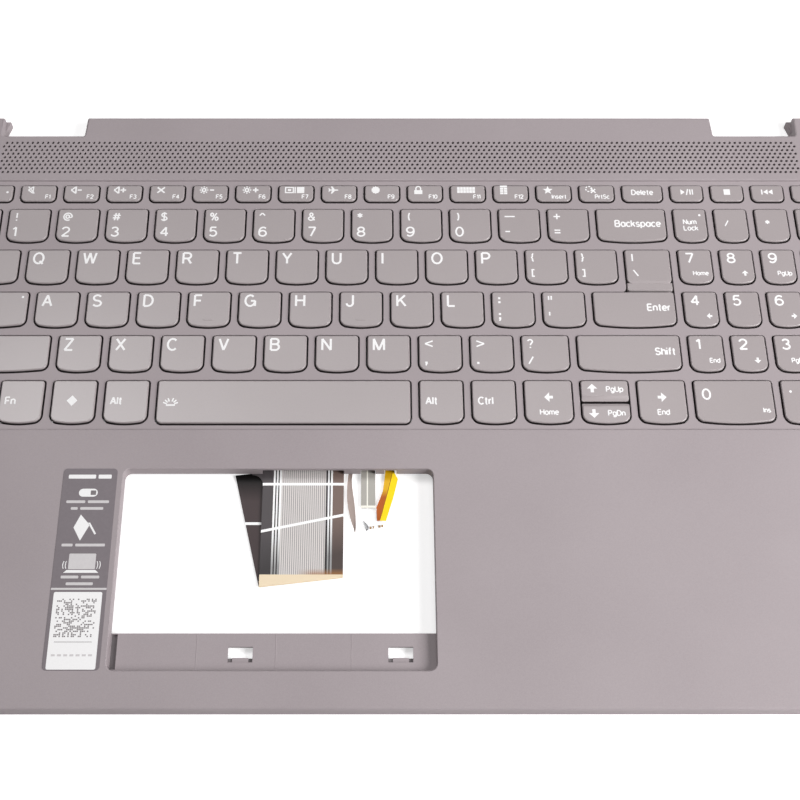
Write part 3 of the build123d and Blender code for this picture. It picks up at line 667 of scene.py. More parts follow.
# %% Signs as strokes
SIGNS = {
    "A": "0,0 3.5,10|3.5,10 7,0|1.3,3.4 5.7,3.4",
    "B": "0,0 0,10|0,10 3.6,7.6,2.4,2.4,90,-90 0,5.2|0,5.2 3.8,2.6,2.6,2.6,90,-90 0,0",
    "C": "3.8,5,3.8,5,45,315",
    "D": "0,0 0,10|0,10 2.6,5,4.2,5,90,-90 0,0",
    "E": "0,0 0,10|0,10 5.8,10|0,5.2 5.3,5.2|0,0 5.8,0",
    "F": "0,0 0,10|0,10 5.6,10|0,5 4.9,5",
    "G": "3.9,5,3.9,5,48,350|7.8,4.8 4.4,4.8|7.8,5 7.8,0",
    "H": "0,0 0,10|6.6,0 6.6,10|0,5.2 6.6,5.2",
    "I": "0,0 0,10",
    "J": "5,10 2.5,2.5,2.5,2.5,0,-180",
    "K": "0,0 0,10|6.2,10 0,3.6|2.4,6 6.6,0",
    "L": "0,0 0,10|0,0 5.4,0",
    "M": "0,0 0,10|0,10 4,0|4,0 8,10|8,10 8,0",
    "N": "0,0 0,10|0,10 6.6,0|6.6,0 6.6,10",
    "O": "3.9,5,3.9,5,0,360",
    "P": "0,0 0,10|0,10 3.4,7.3,2.7,2.7,90,-90 0,4.6",
    "Q": "3.9,5,3.9,5,0,360|4.8,2.4 7.6,-.4",
    "R": "0,0 0,10|0,10 3.6,7.4,2.6,2.6,90,-90 0,4.8|3.6,4.8 6.4,0",
    "S": "3.2,7.5,2.9,2.5,25,270 3.2,2.5,3.2,2.5,90,-155",
    "T": "3.3,0 3.3,10|0,10 6.6,10",
    "U": "0,10 3.2,3.2,3.2,3.2,180,360 6.4,10",
    "V": "0,10 3.4,0|3.4,0 6.8,10",
    "W": "0,10 2.4,0|2.4,0 5,10|5,10 7.6,0|7.6,0 10,10",
    "X": "0,0 6.6,10|0,10 6.6,0",
    "Y": "0,10 3.4,4.4|6.8,10 3.4,4.4|3.4,0 3.4,4.6",
    "Z": "0,10 6.2,10|6.2,10 0,0|0,0 6.2,0",
    "0": "2.9,5,2.9,5,0,360",
    "1": "2.6,0 2.6,10|2.6,10 .3,7.8",
    "2": "2.9,7.2,2.8,2.8,170,-40 0,0|0,0 5.8,0",
    "3": "2.8,7.6,2.5,2.4,160,-90|2.8,2.6,2.9,2.6,90,-160",
    "4": "4.4,0 4.4,10|4.4,10 0,3|0,3 6.2,3",
    "5": "5.4,10 1,10|1,10 .5,5.2|2.7,3.2,2.9,3.2,140,-150",
    "6": "2.9,3.1,2.9,3.1,0,360|0,3.1 3.3,5,3.3,5,180,48",
    "7": "0,10 5.8,10|5.8,10 2,0",
    "8": "2.9,7.6,2.5,2.4,0,360|2.9,2.6,2.9,2.6,0,360",
    "9": "2.9,6.9,2.9,3.1,0,360|5.8,6.9 2.5,5,3.3,5,0,-132",
    "a": "2.8,3.5,2.8,3.6,0,360|5.6,7.1 5.6,0",
    "b": "0,0 0,10|2.8,3.5,2.8,3.6,0,360",
    "c": "2.8,3.5,2.8,3.6,45,315",
    "d": "5.6,0 5.6,10|2.8,3.5,2.8,3.6,0,360",
    "e": "0,3.6 5.6,3.6|2.8,3.6,2.8,3.6,0,315",
    "f": "1.4,0 2.9,8.5,1.5,1.5,180,80|0,7 3.2,7",
    "g": "2.8,3.5,2.8,3.6,0,360|5.6,7.1 2.9,-.4,2.7,2.4,0,-150",
    "h": "0,0 0,10|0,4.4 2.5,4.6,2.5,2.5,180,0 5,0",
    "i": "0,0 0,7.1|0,9.2 0,10.4",
    "k": "0,0 0,10|4.6,7 0,2.8|1.8,4.4 5,0",
    "l": "0,0 0,10",
    "m": "0,0 0,7.1|0,4.6 2.2,4.9,2.2,2.2,180,0 4.4,0|4.4,4.6 6.6,4.9,2.2,2.2,180,0 8.8,0",
    "n": "0,0 0,7.1|0,4.6 2.5,4.6,2.5,2.5,180,0 5,0",
    "o": "2.8,3.5,2.8,3.6,0,360",
    "p": "0,-2.8 0,7.1|2.8,3.5,2.8,3.6,0,360",
    "r": "0,0 0,7.1|0,4.2 2.8,4.3,2.8,2.8,180,95",
    "s": "2.3,5.3,2,1.8,30,270 2.3,1.8,2.3,1.8,90,-150",
    "t": "1.5,9.6 2.8,1.4,1.3,1.4,180,280|0,7 3.2,7",
    "u": "0,7.1 2.5,2.5,2.5,2.5,180,360 5,7.1|5,7.1 5,0",
    "`": "0,10 1.6,8",
    "~": "0,5 1.5,5,1.5,1.2,180,0 4.5,5,1.5,1.2,180,360",
    "!": "1,10 1,3.4|1,-.6 1,1",
    "@": "4.8,5,4.8,5,-10,300|4.5,5,2,2.3,0,360|6.5,7 6.5,3.4 9.5,4.2",
    "#": "2.2,0 3.7,10|5.7,0 7.2,10|0,3.4 8.4,3.4|.7,6.8 9.1,6.8",
    "$": "3.2,7.5,2.9,2.5,25,270 3.2,2.5,3.2,2.5,90,-155|3.2,-1.2 3.2,11.2",
    "%": "1.6,7.8,1.6,2.2,0,360|7,2.2,1.6,2.2,0,360|6.8,10 1.8,0",
    "^": "0,6.6 3.1,10|3.1,10 6.2,6.6",
    "&": "7.2,0 1.9,6.6|1.9,6.6 3.3,7.9,1.7,2.1,210,-35 1.2,4.2|1.2,4.2 3,2.5,2.9,2.5,145,360 6.8,5",
    "*": "2.8,10 2.8,3.6|0,8.4 5.6,5.2|0,5.2 5.6,8.4",
    "(": "3,5,3,6.4,125,235",
    ")": "0,5,3,6.4,55,-55",
    "-": "0,5 5.6,5",
    "_": "0,5 12,5",
    "=": "0,3.2 6.8,3.2|0,6.8 6.8,6.8",
    "+": "0,5 7.6,5|3.8,1.2 3.8,8.8",
    "[": "2.6,9.4 0,9.4|0,10.2 0,-.2|0,.6 2.6,.6",
    "]": "0,9.4 2.6,9.4|2.6,10.2 2.6,-.2|2.6,.6 0,.6",
    "{": "2.6,8.6,1.3,1.4,90,180 1.3,6.3 .2,5 1.3,3.7 2.6,1.4,1.3,1.4,180,270",
    "}": "0,8.6,1.3,1.4,90,0 1.3,6.3 2.4,5 1.3,3.7 0,1.4,1.3,1.4,0,-90",
    "\\": "0,9 5,1",
    "|": "0,9.8 0,.2",
    "/": "0,.4 5,9.4",
    ":": "fill 0,.6 2.6,.6 2.6,3.2 0,3.2|fill 0,5.8 2.6,5.8 2.6,8.4 0,8.4",
    ";": "fill 0,6 2.6,6 2.6,8.6 0,8.6|fill 0,.6 2.6,.6 2.6,3.2 0,3.2|1.9,1.4 .6,-1.6",
    "'": "0,10 0,5.4",
    '"': "0,10 0,5|3,10 3,5",
    ",": "fill 0,.6 2.6,.6 2.6,3.2 0,3.2|1.9,1.4 .6,-1.6",
    ".": "fill 0,.2 2.6,.2 2.6,2.8 0,2.8",
    "<": "9,8.4 .4,4.9|.4,4.9 9,1.4",
    ">": "0,8.4 8.6,4.9|8.6,4.9 0,1.4",
    "?": "2.6,7.6,2.6,2.4,165,-60 2.6,3|2.6,-.6 2.6,1",
}
print("letters, digits and marks:", len(SIGNS))


# %% Icons
def rays(x, y, inner, outer, angles):
    """Short strokes that point away from a centre."""
    strokes = []
    for angle in angles:
        across, upright = cos(radians(angle)), sin(radians(angle))
        near = f"{x + inner * across:.2f},{y + inner * upright:.2f}"
        strokes.append(near + f" {x + outer * across:.2f},{y + outer * upright:.2f}")
    return "|".join(strokes)


def cells(columns, rows, width, height, gap, left, low):
    """Filled cells side by side."""
    patches = []
    for row in range(rows):
        for column in range(columns):
            x, y = left + column * (width + gap), low + row * (height + gap)
            patches.append(f"fill {x},{y} {x + width},{y} {x + width},{y + height} {x},{y + height}")
    return "|".join(patches)


def star(x, y, outer, inner, points):
    """A filled star, or a toothed wheel if it has many points."""
    corners = []
    for step in range(2 * points):
        reach, turn = (inner if step % 2 else outer), pi / 2 + step * pi / points
        corners.append(f"{x + reach * cos(turn):.2f},{y + reach * sin(turn):.2f}")
    return "fill " + " ".join(corners)


ICONS = {
    "left": "fill 0,5 6.2,-1.3 6.2,3.2 10.4,3.2 10.4,6.8 6.2,6.8 6.2,11.3",
    "right": "fill 10.4,5 4.2,11.3 4.2,6.8 0,6.8 0,3.2 4.2,3.2 4.2,-1.3",
    "up": "fill 6.3,11 0,4.6 4.3,4.6 4.3,-.6 8.3,-.6 8.3,4.6 12.6,4.6",
    "down": "fill 6.3,-1 12.6,5.4 8.3,5.4 8.3,10.6 4.3,10.6 4.3,5.4 0,5.4",
    "dot": "fill 1,5,1.7,1.7,0,360",
    "diamond": "fill 0,5 5,-.5 10,5 5,10.5",
    "speaker": "fill 0,3.1 2.6,3.1 2.6,6.9 0,6.9|2.4,3.1 6.6,-.2|6.6,-.6 6.6,10.6|6.6,10.2 2.4,6.9",
    "cross": "fill -.2,1.4 1.4,-.2 11.2,8.6 9.6,10.2|fill 9.6,-.2 11.2,1.4 1.4,10.2 -.2,8.6",
    "sun": "5.8,5,2.4,2.4,0,360|" + rays(5.8, 5, 4.2, 5.8, range(0, 360, 45)),
    "screens": "0,.8 10.5,.8|10.5,0 10.5,10|10.5,9.2 0,9.2|0,10 0,0|"
    "fill 3,3.4 7.6,3.4 7.6,6.6 3,6.6|13,0 13,10|" + cells(1, 1, 10, 10, 0, 15.4, 0),
    "plane": "fill 0,4.1 12.2,4.1 13.4,5 12.2,5.9 0,5.9|fill 9,5 4.8,10.9 3,10.9 4.8,5 3,-.9 4.8,-.9|"
    "fill 2.4,5 .9,7.9 -.3,7.9 .5,5 -.3,2.1 .9,2.1",
    "gear": star(6, 5, 6.1, 5.1, 10),
    "lock": "fill 0,-1.6 11,-1.6 11,4.8 0,4.8|2.3,4.6 5.5,7.4,3.2,3.4,180,0 8.7,4.6",
    "keyboard": cells(6, 2, 3.7, 4.6, 0.4, 0, 0.2),
    "calculator": cells(2, 3, 4.5, 3, 0.7, 0, -1.8) + "|" + cells(1, 1, 9.7, 3, 0, 0, 9.3),
    "favourite": star(6.6, 4.6, 6.9, 3.0, 5),
    "snip": "|".join(f"4.4,6.8,4.2,4.2,{turn},{turn + 36}" for turn in range(0, 360, 60))
    + "|fill 6,7.6 7.4,8.6 13.8,1 12.4,-.2|fill 12.2,7.2 13.6,6 7.6,-.4 6.2,.8",
    "play": "fill 0,.6 5.6,5 0,9.4|7.6,.2 10,9.8|12.8,.8 12.8,9.2|16,.8 16,9.2",
    "stop": "fill 0,.6 8.6,.6 8.6,9.4 0,9.4",
    "back": "0,1 0,9|fill 1.8,5 8,.8 8,9.2|fill 8.4,5 14.6,.8 14.6,9.2",
    "ahead": "fill 0,.8 6.2,5 0,9.2|fill 6.6,.8 12.8,5 6.6,9.2|14.6,1 14.6,9",
    "lamp": "fill 2.8,-1 13.6,-1 13.6,1.2 2.8,1.2|" + rays(8.2, 0.4, 4.8, 9.6, (20, 44, 70, 110, 136, 160)),
}
ICONS["mute"] = ICONS["speaker"] + "|-.2,10.6 8.6,-.6"
SIGNS.update(ICONS)
print("icons:", len(ICONS))

# %% Pen
PEN, BOLD_PEN, SIGN_GAP, SPACE = 1.7, 2.1, 2.2, 4.0
WORD_WIDTH, DIGIT_WIDTH = 0.98, 1.16
FILL, ARC_STEP = "fill ", 24
INK_THICKNESS, INK_LAYER, INK_LAYERS = 0.03, 0.006, 4


def stroke_points(stroke):
    """Points of one stroke; an item of six numbers is an arc."""
    points = []
    for item in stroke.split():
        numbers = [float(number) for number in item.split(",")]
        if len(numbers) == 2:
            points.append(tuple(numbers))
            continue
        x, y, across, upright, start, end = numbers
        count = max(2, round(abs(end - start) / ARC_STEP))
        angles = [radians(start + (end - start) * step / count) for step in range(count + 1)]
        points += [(x + across * cos(angle), y + upright * sin(angle)) for angle in angles]
    return points


def set_out(signs):
    """The marks of signs side by side, each filled or not and its points, and the row's width."""
    wide = 1
    if isinstance(signs, str):
        wide = WORD_WIDTH if len(signs) > 1 else DIGIT_WIDTH if signs.isdigit() else 1
    marks, reach = [], 0
    for sign in signs:
        if sign == " ":
            reach += SPACE
            continue
        strokes = SIGNS[sign].split("|")
        drawn = [[(x * wide, y) for x, y in stroke_points(stroke.removeprefix(FILL))] for stroke in strokes]
        low = min(x for points in drawn for x, _ in points)
        high = max(x for points in drawn for x, _ in points)
        for stroke, points in zip(strokes, drawn):
            marks.append((stroke.startswith(FILL), [(x - low + reach, y) for x, y in points]))
        reach += high - low + SIGN_GAP
    return marks, reach - SIGN_GAP


print("the word Shift is", round(set_out("Shift")[1], 1), "units wide")


# %% Ink
def pen_curve(width):
    """An empty curve whose strokes become flat ribbons of ink."""
    curve = bpy.data.curves.new("ink", "CURVE")
    curve.dimensions = "3D"
    curve.twist_mode = "Z_UP"
    curve.extrude = width / 2
    curve.bevel_depth = INK_THICKNESS / 2
    curve.bevel_resolution = 0
    curve.use_fill_caps = True
    return curve


def print_signs(bm, finish, signs, cap, x, y, z, align="left", pen=None):
    """Inks signs of this cap height about the point x, y; each mark lies a hair above the last."""
    known = set(bm.faces)
    marks, width = set_out(signs)
    size = cap / (10 + PEN)
    shift = {"left": PEN / 2, "centre": -width / 2, "right": -width - PEN / 2}[align]
    curve = pen_curve((pen or (PEN if len(signs) == 1 else BOLD_PEN)) * size)
    for layer, (filled, points) in enumerate(marks):
        height = z + layer % INK_LAYERS * INK_LAYER
        points = [((px + shift) * size + x, (py - 5) * size + y) for px, py in points]
        closed = len(points) > 3 and max(abs(a - b) for a, b in zip(points[0], points[-1])) < 1e-6
        points = points[:-1] if closed else points
        if filled:
            face = flat_face(bm, points, height - INK_THICKNESS / 2)
            if face.normal.z < 0:
                face.normal_flip()
            step_face(bm, face, (0.0, INK_THICKNESS))
            close_loop(bm, height - INK_THICKNESS / 2)
            continue
        spline = curve.splines.new("POLY")
        spline.points.add(len(points) - 1)
        spline.use_cyclic_u = closed
        for point, (px, py) in zip(spline.points, points):
            point.co = (px, py, height, 1)
            point.tilt = pi / 2
    drawing = bpy.data.objects.new("ink", curve)
    ribbons = bpy.data.meshes.new_from_object(drawing)
    bm.from_mesh(ribbons)
    bpy.data.objects.remove(drawing)
    bpy.data.curves.remove(curve)
    bpy.data.meshes.remove(ribbons)
    for face in set(bm.faces) - known:
        face.material_index = finish


print("pen: strokes", PEN, "units wide on signs ten units high")

# %% [markdown]
# ## What is printed on each key
# A letter sits at the upper left. Keys with two signs carry the shifted one above. The function row
# has an icon at the upper left and a small number at the lower right, and long keys have a word.
# The key with a maker's sign on most keyboards gets a plain diamond.

# %% Legend of each key
# A print has its signs, their height, the side it is set from, the distance from there and its
# place down the key as a share of the key's depth
LETTER, DIGIT, SHIFTED, WORD, ICON, SMALL, TINY = 5.5, 4.7, 3.9, 3.2, 3.4, 2.35, 2.05
pairs = dict(zip(list("1234567890"), "!@#$%^&*()"))
legends = {name: [(name.upper(), LETTER, "left", 2.15, 0.262)] for name in "qwertyuiopasdfghjklzxcvbnm"}
for name, shifted in pairs.items():
    inset = 2.9 if shifted in "!()" else 2.1
    legends[name] = [(shifted, SHIFTED, "left", inset, 0.245), (name, DIGIT, "left", 2.1, 0.695)]
for name, shifted, plain in (
    ("grave", "~", "`"), ("minus", "_", "-"), ("equals", "+", "="), ("left_bracket", "{", "["),
    ("right_bracket", "}", "]"), ("backslash", "|", "\\"), ("semicolon", ":", ";"), ("quote", '"', "'"),
    ("comma", "<", ","), ("period", ">", "."), ("slash", "?", "/"),
):
    inset = 2.6 if name == "backslash" else 2.15
    legends[name] = [(shifted, SHIFTED, "left", inset, 0.24), (plain, SHIFTED, "left", inset, 0.69)]
print("letters, digits and marks:", len(legends), "keys")

# %% Legends of the function row and of the long keys
icons = [["mute"], ["speaker", "-"], ["speaker", "+"], ["cross"], ["sun", "-"], ["sun", "+"], ["screens"]]
icons += [["plane"], ["gear"], ["lock"], ["keyboard"], ["calculator"], ["favourite"], ["snip"]]
names = [f"F{number}" for number in range(1, 13)] + ["Insert", "PrtSc"]
for name, icon, word in zip(function_names, icons, names):
    legends[name] = [(icon, ICON, "left", 2.5, 0.31), (word, TINY, "right", 2.0, 0.71)]
legends["delete"] = [("Delete", 2.6, "centre", 0, 0.45)]
legends["escape"] = [("Esc", 2.6, "left", 2.0, 0.45), (["dot"], ICON, "right", 1.5, 0.44)]
for name, icon in (("play", "play"), ("stop", "stop"), ("previous", "back"), ("next", "ahead")):
    legends[name] = [([icon], ICON, "centre", 0, 0.43)]
for name, word in (("backspace", "Backspace"), ("enter", "Enter"), ("right_shift", "Shift")):
    legends[name] = [(word, WORD, "right", 2.0, 0.45)]
left_words = {"tab": "Tab", "left_shift": "Shift", "left_ctrl": "Ctrl", "fn": "Fn", "left_alt": "Alt"}
left_words |= {"right_alt": "Alt", "right_ctrl": "Ctrl"}
for name, word in left_words.items():
    legends[name] = [(word, WORD, "left", 2.2, 0.48)]
legends["caps_lock"] = [("Caps Lock", 2.6, "left", 2.2, 0.48), (["dot"], ICON, "right", 1.4, 0.16)]
legends["system"] = [(["diamond"], 4.6, "centre", -0.5, 0.48)]
legends["space"] = [(["lamp"], 3.5, "left", 2.2, 0.5)]
legends["arrow_left"] = [(["left"], 3.6, "centre", 0, 0.4), ("Home", SMALL, "centre", 0, 0.74)]
legends["arrow_right"] = [(["right"], 3.6, "centre", 0, 0.4), ("End", SMALL, "centre", 0, 0.74)]
legends["arrow_up"] = [(["up"], 3.5, "left", 2.1, 0.4), ("PgUp", SMALL, "right", 2.0, 0.44)]
legends["arrow_down"] = [(["down"], 3.5, "left", 2.1, 0.53), ("PgDn", SMALL, "right", 2.0, 0.51)]
print("with the function row and the long keys:", len(legends), "keys")

# %% Legends of the number pad
legends["num_lock"] = [("Num", SMALL, "centre", -0.2, 0.4), ("Lock", SMALL, "centre", 0, 0.585)]
legends["num_lock"].append((["dot"], ICON, "right", 1.8, 0.2))
for name, sign in (("divide", "/"), ("multiply", "*"), ("minus", "-"), ("plus", "+")):
    legends["pad_" + name] = [(sign, WORD, "centre", -1.8, 0.44)]
legends["pad_enter"] = [("Enter", SMALL, "centre", 0, 0.5)]
seconds = {"0": "Ins", "1": "End", "3": "PgDn", "7": "Home", "9": "PgUp"}
ways = {"2": "down", "4": "left", "6": "right", "8": "up"}
for digit in "0123456789":
    legends["pad_" + digit] = [(digit, DIGIT, "left", 2.7, 0.33 if digit == "0" else 0.255)]
    if digit in seconds:
        legends["pad_" + digit].append((seconds[digit], TINY, "right", 1.8, 0.695))
    if digit in ways:
        legends["pad_" + digit].append(([ways[digit]], SMALL, "right", 2.4, 0.695))
legends["pad_period"] = [(["dot"], ICON, "left", 2.6, 0.27), ("Del", TINY, "right", 1.8, 0.695)]
print("legends:", len(legends), "keys and", sum(len(entry) for entry in legends.values()), "prints")

# %% [markdown]
# ## Keycaps
# A keycap is a thin drafted shell. Its outline starts at the bottom, one inset makes the sloping
# side, a few small ones the rounded top edge, and the bottom is closed with a face that is pushed
# up to hollow the cap, so its rubber dome has room. The ink is joined to the cap as a second finish,
# and the lowest band of its side is dark resin as a third, painted shade for the gap round the key.

# %% Keycap builder
KEY_BOTTOM, KEY_TOP, POCKET_TOP = 4.45, 6.35, 5.55
# The side of a keycap is dark up to the last height on the next line, as painted shade for the gap round the
# key
KEY_DRAFT, KEY_EDGE, KEY_WALL, INK_SINK, SKIRT_SHADE_TOP = 0.25, 0.38, 1.0, 0.01, 5.75
LIP_TOP, LIP_FRONT = 5.88, keys["enter"][1] + keys["enter"][3] / 2 + KEY_GAP
LIP_OVERLAP, LIP_CORNER, LIP_DRAFT, LIP_EDGE = 0.8, 1.0, 0.15, 0.3


def add_cap(bm, name):
    """A hollow cap, dark on its lower side as painted shade for the gap round it."""
    face = key_face(bm, name, 0, KEY_BOTTOM)
    # Below the height that ends the dark band the side is dark resin, painted shade for the gap; above it the
    # key's own tone
    bare, painted = SKIRT_SHADE_TOP - KEY_BOTTOM, KEY_TOP - KEY_EDGE - SKIRT_SHADE_TOP
    share = KEY_DRAFT / (bare + painted)
    rows = [(share * bare, bare), (share * painted, painted)] + arc_rows(KEY_EDGE, 3, from_wall=True)
    step_face(bm, face, *rows)
    face = close_loop(bm, KEY_BOTTOM)
    wall = ARROW_WALL if name in ("arrow_up", "arrow_down") else KEY_WALL
    step_face(bm, face, (wall, 0.0), (0.0, KEY_BOTTOM - POCKET_TOP))
    for face in bm.faces:
        face.material_index = 2 * all(vert.co.z < SKIRT_SHADE_TOP + 1e-4 for vert in face.verts)


def add_lip(bm):
    """The lower front of the backslash key, which reaches down to the Enter key."""
    x, y, width, depth = keys["backslash"]
    rear = y - depth / 2 + LIP_OVERLAP
    face = flat_face(bm, rectangle(x, (rear + LIP_FRONT) / 2, width, rear - LIP_FRONT), KEY_BOTTOM)
    face = round_corners(bm, face.verts[:2], LIP_CORNER, 4)
    wall = (LIP_DRAFT, LIP_TOP - KEY_BOTTOM - LIP_EDGE)
    step_face(bm, face, wall, *arc_rows(LIP_EDGE, 3, from_wall=True))
    close_loop(bm, KEY_BOTTOM)


print("keycap:", round(KEY_TOP - KEY_BOTTOM, 2), "mm high")


# %% Sloped edges and print
def slope_edge(bm, name, side, reach, drop):
    """Planes a key's top down towards its front (side -1) or rear (side 1) edge."""
    x, y, width, depth = keys[name]
    edge_y = y + side * depth / 2
    whole = bm.verts[:] + bm.edges[:] + bm.faces[:]
    bmesh.ops.bisect_plane(bm, geom=whole, plane_co=(x, edge_y - side * reach, 0), plane_no=(0, 1, 0))
    for vert in bm.verts:
        along = side * (vert.co.y - edge_y) + reach
        if along > 0:
            vert.co.z = min(vert.co.z, KEY_TOP - drop * along / reach)


def add_print(bm, name):
    """Joins the ink of a key's legend to it."""
    x, y, width, depth = keys[name]
    for signs, cap, align, inset, down in legends.get(name, []):
        place = {"left": x - width / 2 + inset, "centre": x + inset, "right": x + width / 2 - inset}[align]
        print_signs(bm, 1, signs, cap, place, y + depth / 2 - down * depth, KEY_TOP + INK_SINK, align)


print("ink stands", INK_THICKNESS / 2 + INK_SINK, "mm above a key")

# %% Whole keys
# The two short arrow keys lean towards the gap between them, and the backslash towards its lip:
# which edge, how far from it the slope starts and how deep it gets
SLOPES = {"arrow_up": (-1, 2.1, 1.1), "arrow_down": (1, 1.7, 1.1), "backslash": (-1, 1.4, 0.5)}
HOMING_WIDTH, HOMING_DEPTH, HOMING_HEIGHT, HOMING_SINK, HOMING_INSET = 3.6, 0.5, 0.15, 0.05, 3.1


def build_keys(names):
    """One bmesh with these keys and their print."""
    whole = bmesh.new()
    for name in names:
        bm = bmesh.new()
        add_cap(bm, name)
        if name in SLOPES:
            slope_edge(bm, name, *SLOPES[name])
        if name == "backslash":
            add_lip(bm)
        if name in "fj":
            x, y, width, depth = keys[name]
            bar_y = y - depth / 2 + HOMING_INSET
            low, high = KEY_TOP - HOMING_SINK, KEY_TOP + HOMING_HEIGHT
            add_block(bm, x, bar_y, HOMING_WIDTH, HOMING_DEPTH, low, high)
        add_print(bm, name)
        mesh = bpy.data.meshes.new(name)
        bm.to_mesh(mesh)
        bm.free()
        whole.from_mesh(mesh)
        bpy.data.meshes.remove(mesh)
    return whole


print("keys with a sloped edge:", list(SLOPES))

# %% Travelling keys, each on its own body
key_finishes = [key_plastic, white_ink, gap_shade_resin]
for name in moving:
    body = "key_" + name
    piece = finish_piece(build_keys([name]), "keycap_" + name, key_finishes, body, body)
print("travelling keys:", len(moving), "and the last has", len(piece.data.polygons), "faces")

# %% Fixed keys in three groups
pad_group = [name for name in fixed if name.startswith("pad_") or name == "num_lock"]
side_group = [name for name in fixed if name not in rear_group + pad_group]
for name, group in (("function_keys", rear_group), ("number_pad_keys", pad_group), ("side_keys", side_group)):
    piece = finish_piece(build_keys(group), name, key_finishes, "palmrest", "dome_sheet")
    print(name, len(group), "keys,", len(piece.data.polygons), "faces")

# %% The carrier sheet, with a post under each fixed key
POST_SIZE, POST_CORNER, POST_DRAFT, SHEET_THICKNESS = 5.0, 0.6, 0.1, 0.2
SHEET_MARGIN, SHEET_FRONT_MARGIN, SHEET_CORNER, SHEET_EDGE = 1.2, 5.4, 1.5, 0.04
sheet_front, sheet_rear = KEYS_REAR - keys_depth + SHEET_FRONT_MARGIN, KEYS_REAR - SHEET_MARGIN
sheet_y, sheet_depth = (sheet_front + sheet_rear) / 2, sheet_rear - sheet_front


def sheet_mesh(low, high):
    """A thin sheet under the whole key block."""
    bm = bmesh.new()
    face = flat_face(bm, rectangle(0, sheet_y, keys_width - 2 * SHEET_MARGIN, sheet_depth), low)
    face = round_corners(bm, face.verts[:], SHEET_CORNER, 4)
    step_face(bm, face, (0.0, high - low - SHEET_EDGE), (SHEET_EDGE, SHEET_EDGE))
    close_loop(bm, low)
    return bm


sheet_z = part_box("dome_sheet")[0].z / MM
dome_base = sheet_z + SHEET_THICKNESS
carrier = sheet_mesh(sheet_z, dome_base)
for name in fixed:
    face = flat_face(carrier, rectangle(*keys[name][:2], POST_SIZE, POST_SIZE), dome_base)
    face = round_corners(carrier, face.verts[:], POST_CORNER, 3)
    step_face(carrier, face, (POST_DRAFT, POCKET_TOP - dome_base))
    close_loop(carrier, dome_base)
piece = finish_piece(carrier, "dome_carrier_sheet", [black_film_and_gap_shade], "palmrest", "dome_sheet")
print("carrier sheet:", len(piece.data.polygons), "faces")

# %% [markdown]
# ## The rubber domes
# Under each key that travels stands a dome of silicone rubber, moulded on the carrier sheet. It
# holds the key up, buckles when the key goes down and pushes it back. Each one is a piece of its
# own with a mesh of its own: a wide foot, a sloping skirt and a flat crown that touches the roof
# of the keycap.

# %% Domes
DOME_FOOT, DOME_CROWN, DOME_SIDES, DOME_ROUND, KEY_TRAVEL = 2.6, 1.15, 20, 0.2, 1.4
dome_height = POCKET_TOP - dome_base
turns = [2 * pi * step / DOME_SIDES for step in range(DOME_SIDES)]
skirt = (DOME_FOOT - DOME_CROWN - DOME_ROUND, dome_height - 2 * DOME_ROUND)
for name in moving:
    x, y = keys[name][:2]
    bm = bmesh.new()
    ring = [(x + DOME_FOOT * cos(turn), y + DOME_FOOT * sin(turn)) for turn in turns]
    face = flat_face(bm, ring, dome_base)
    step_face(bm, face, (0.0, DOME_ROUND), skirt, *arc_rows(DOME_ROUND, 2, from_wall=True))
    close_loop(bm, dome_base)
    dome = finish_piece(bm, "dome_" + name, [silicone], "palmrest", "key_domes")
    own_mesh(dome)
print("domes:", len(moving), "of", round(dome_height, 2), "mm")

# %% [markdown]
# ## The membrane and its folded ribbon
# Under the domes lies the membrane, two printed polyester films with the key circuit. Its tail
# drops into the window, folds under itself at a slant and runs back towards the keys, leaning to
# the left. The fold is a half turn about a slanted line, so each row of the sheet lies parallel to
# that line and its place follows from one formula. The print is drawn with the tail's own place:
# white guard lines, a field of thin silver tracks and two cross lines.

# %% Printed film
# Places are in millimetres, and shares are of the ribbon's width from its left edge
RIBBON_LEFT, RIBBON_WIDTH, FILM = -49.5, 28.8, 0.25
TRACK_PITCH, TRACK_SHARE, FIELD_MIDDLE, FIELD_HALF, FIELD_END = 0.73, 0.3, 0.506, 0.27, 0.779
GUARD_LINES, GUARD_WIDTH = (0.132, 0.169, 0.207, 0.803, 0.839), 0.021
REAR_LINE, SLANT_LINE, SLANT, LINE_HALF, PRINT_END, PRINT_BLUR = -38.6, -56.4, 0.212, 0.5, -72.2, 0.1
SHADE_REAR, SHADE_FRONT, SHADE_KEPT = -46, -60, 0.3
BURN_LENGTH, BURN_SHARE, BURN_LEFT, BURN_RIGHT = 2.2, 0.75, -37, -31
# White guard lines and silver tracks on dark film, brown and bare at the fold
ribbon_print, tree, shader = new_material("printed polyester ribbon", Roughness=0.4, Specular_IOR_Level=0.2)
place = add_node(tree, "ShaderNodeTexCoord").outputs["Object"]
axes = add_node(tree, "ShaderNodeSeparateXYZ", {0: place}).outputs
sides = {0: axes["X"], 1: RIBBON_LEFT * MM, 2: (RIBBON_LEFT + RIBBON_WIDTH) * MM}
across = add_node(tree, "ShaderNodeMapRange", sides).outputs[0]
bands = add_node(tree, "ShaderNodeValToRGB", {"Fac": across})
bands.color_ramp.interpolation = "CONSTANT"
film_tones = ("#524d4f", "#3d383a", "#3d383a", "#d8d3d1", "#3d383a", "#7b6861")
stops = [(0.0, film_tones[0]), (FIELD_END, "#3d383a")]
for line, tone in zip(GUARD_LINES, film_tones[1:]):
    stops += [(line, "#ffffff"), (line + GUARD_WIDTH, tone)]
for position, tone in sorted(stops):
    bands.color_ramp.elements.new(position).color = linear(tone)
for extra in (0, -1):
    bands.color_ramp.elements.remove(bands.color_ramp.elements[extra])
in_field = {0: across, 1: FIELD_MIDDLE, 2: FIELD_HALF}
field = add_node(tree, "ShaderNodeMath", in_field, operation="COMPARE").outputs[0]
print("bands across the ribbon:", len(bands.color_ramp.elements))

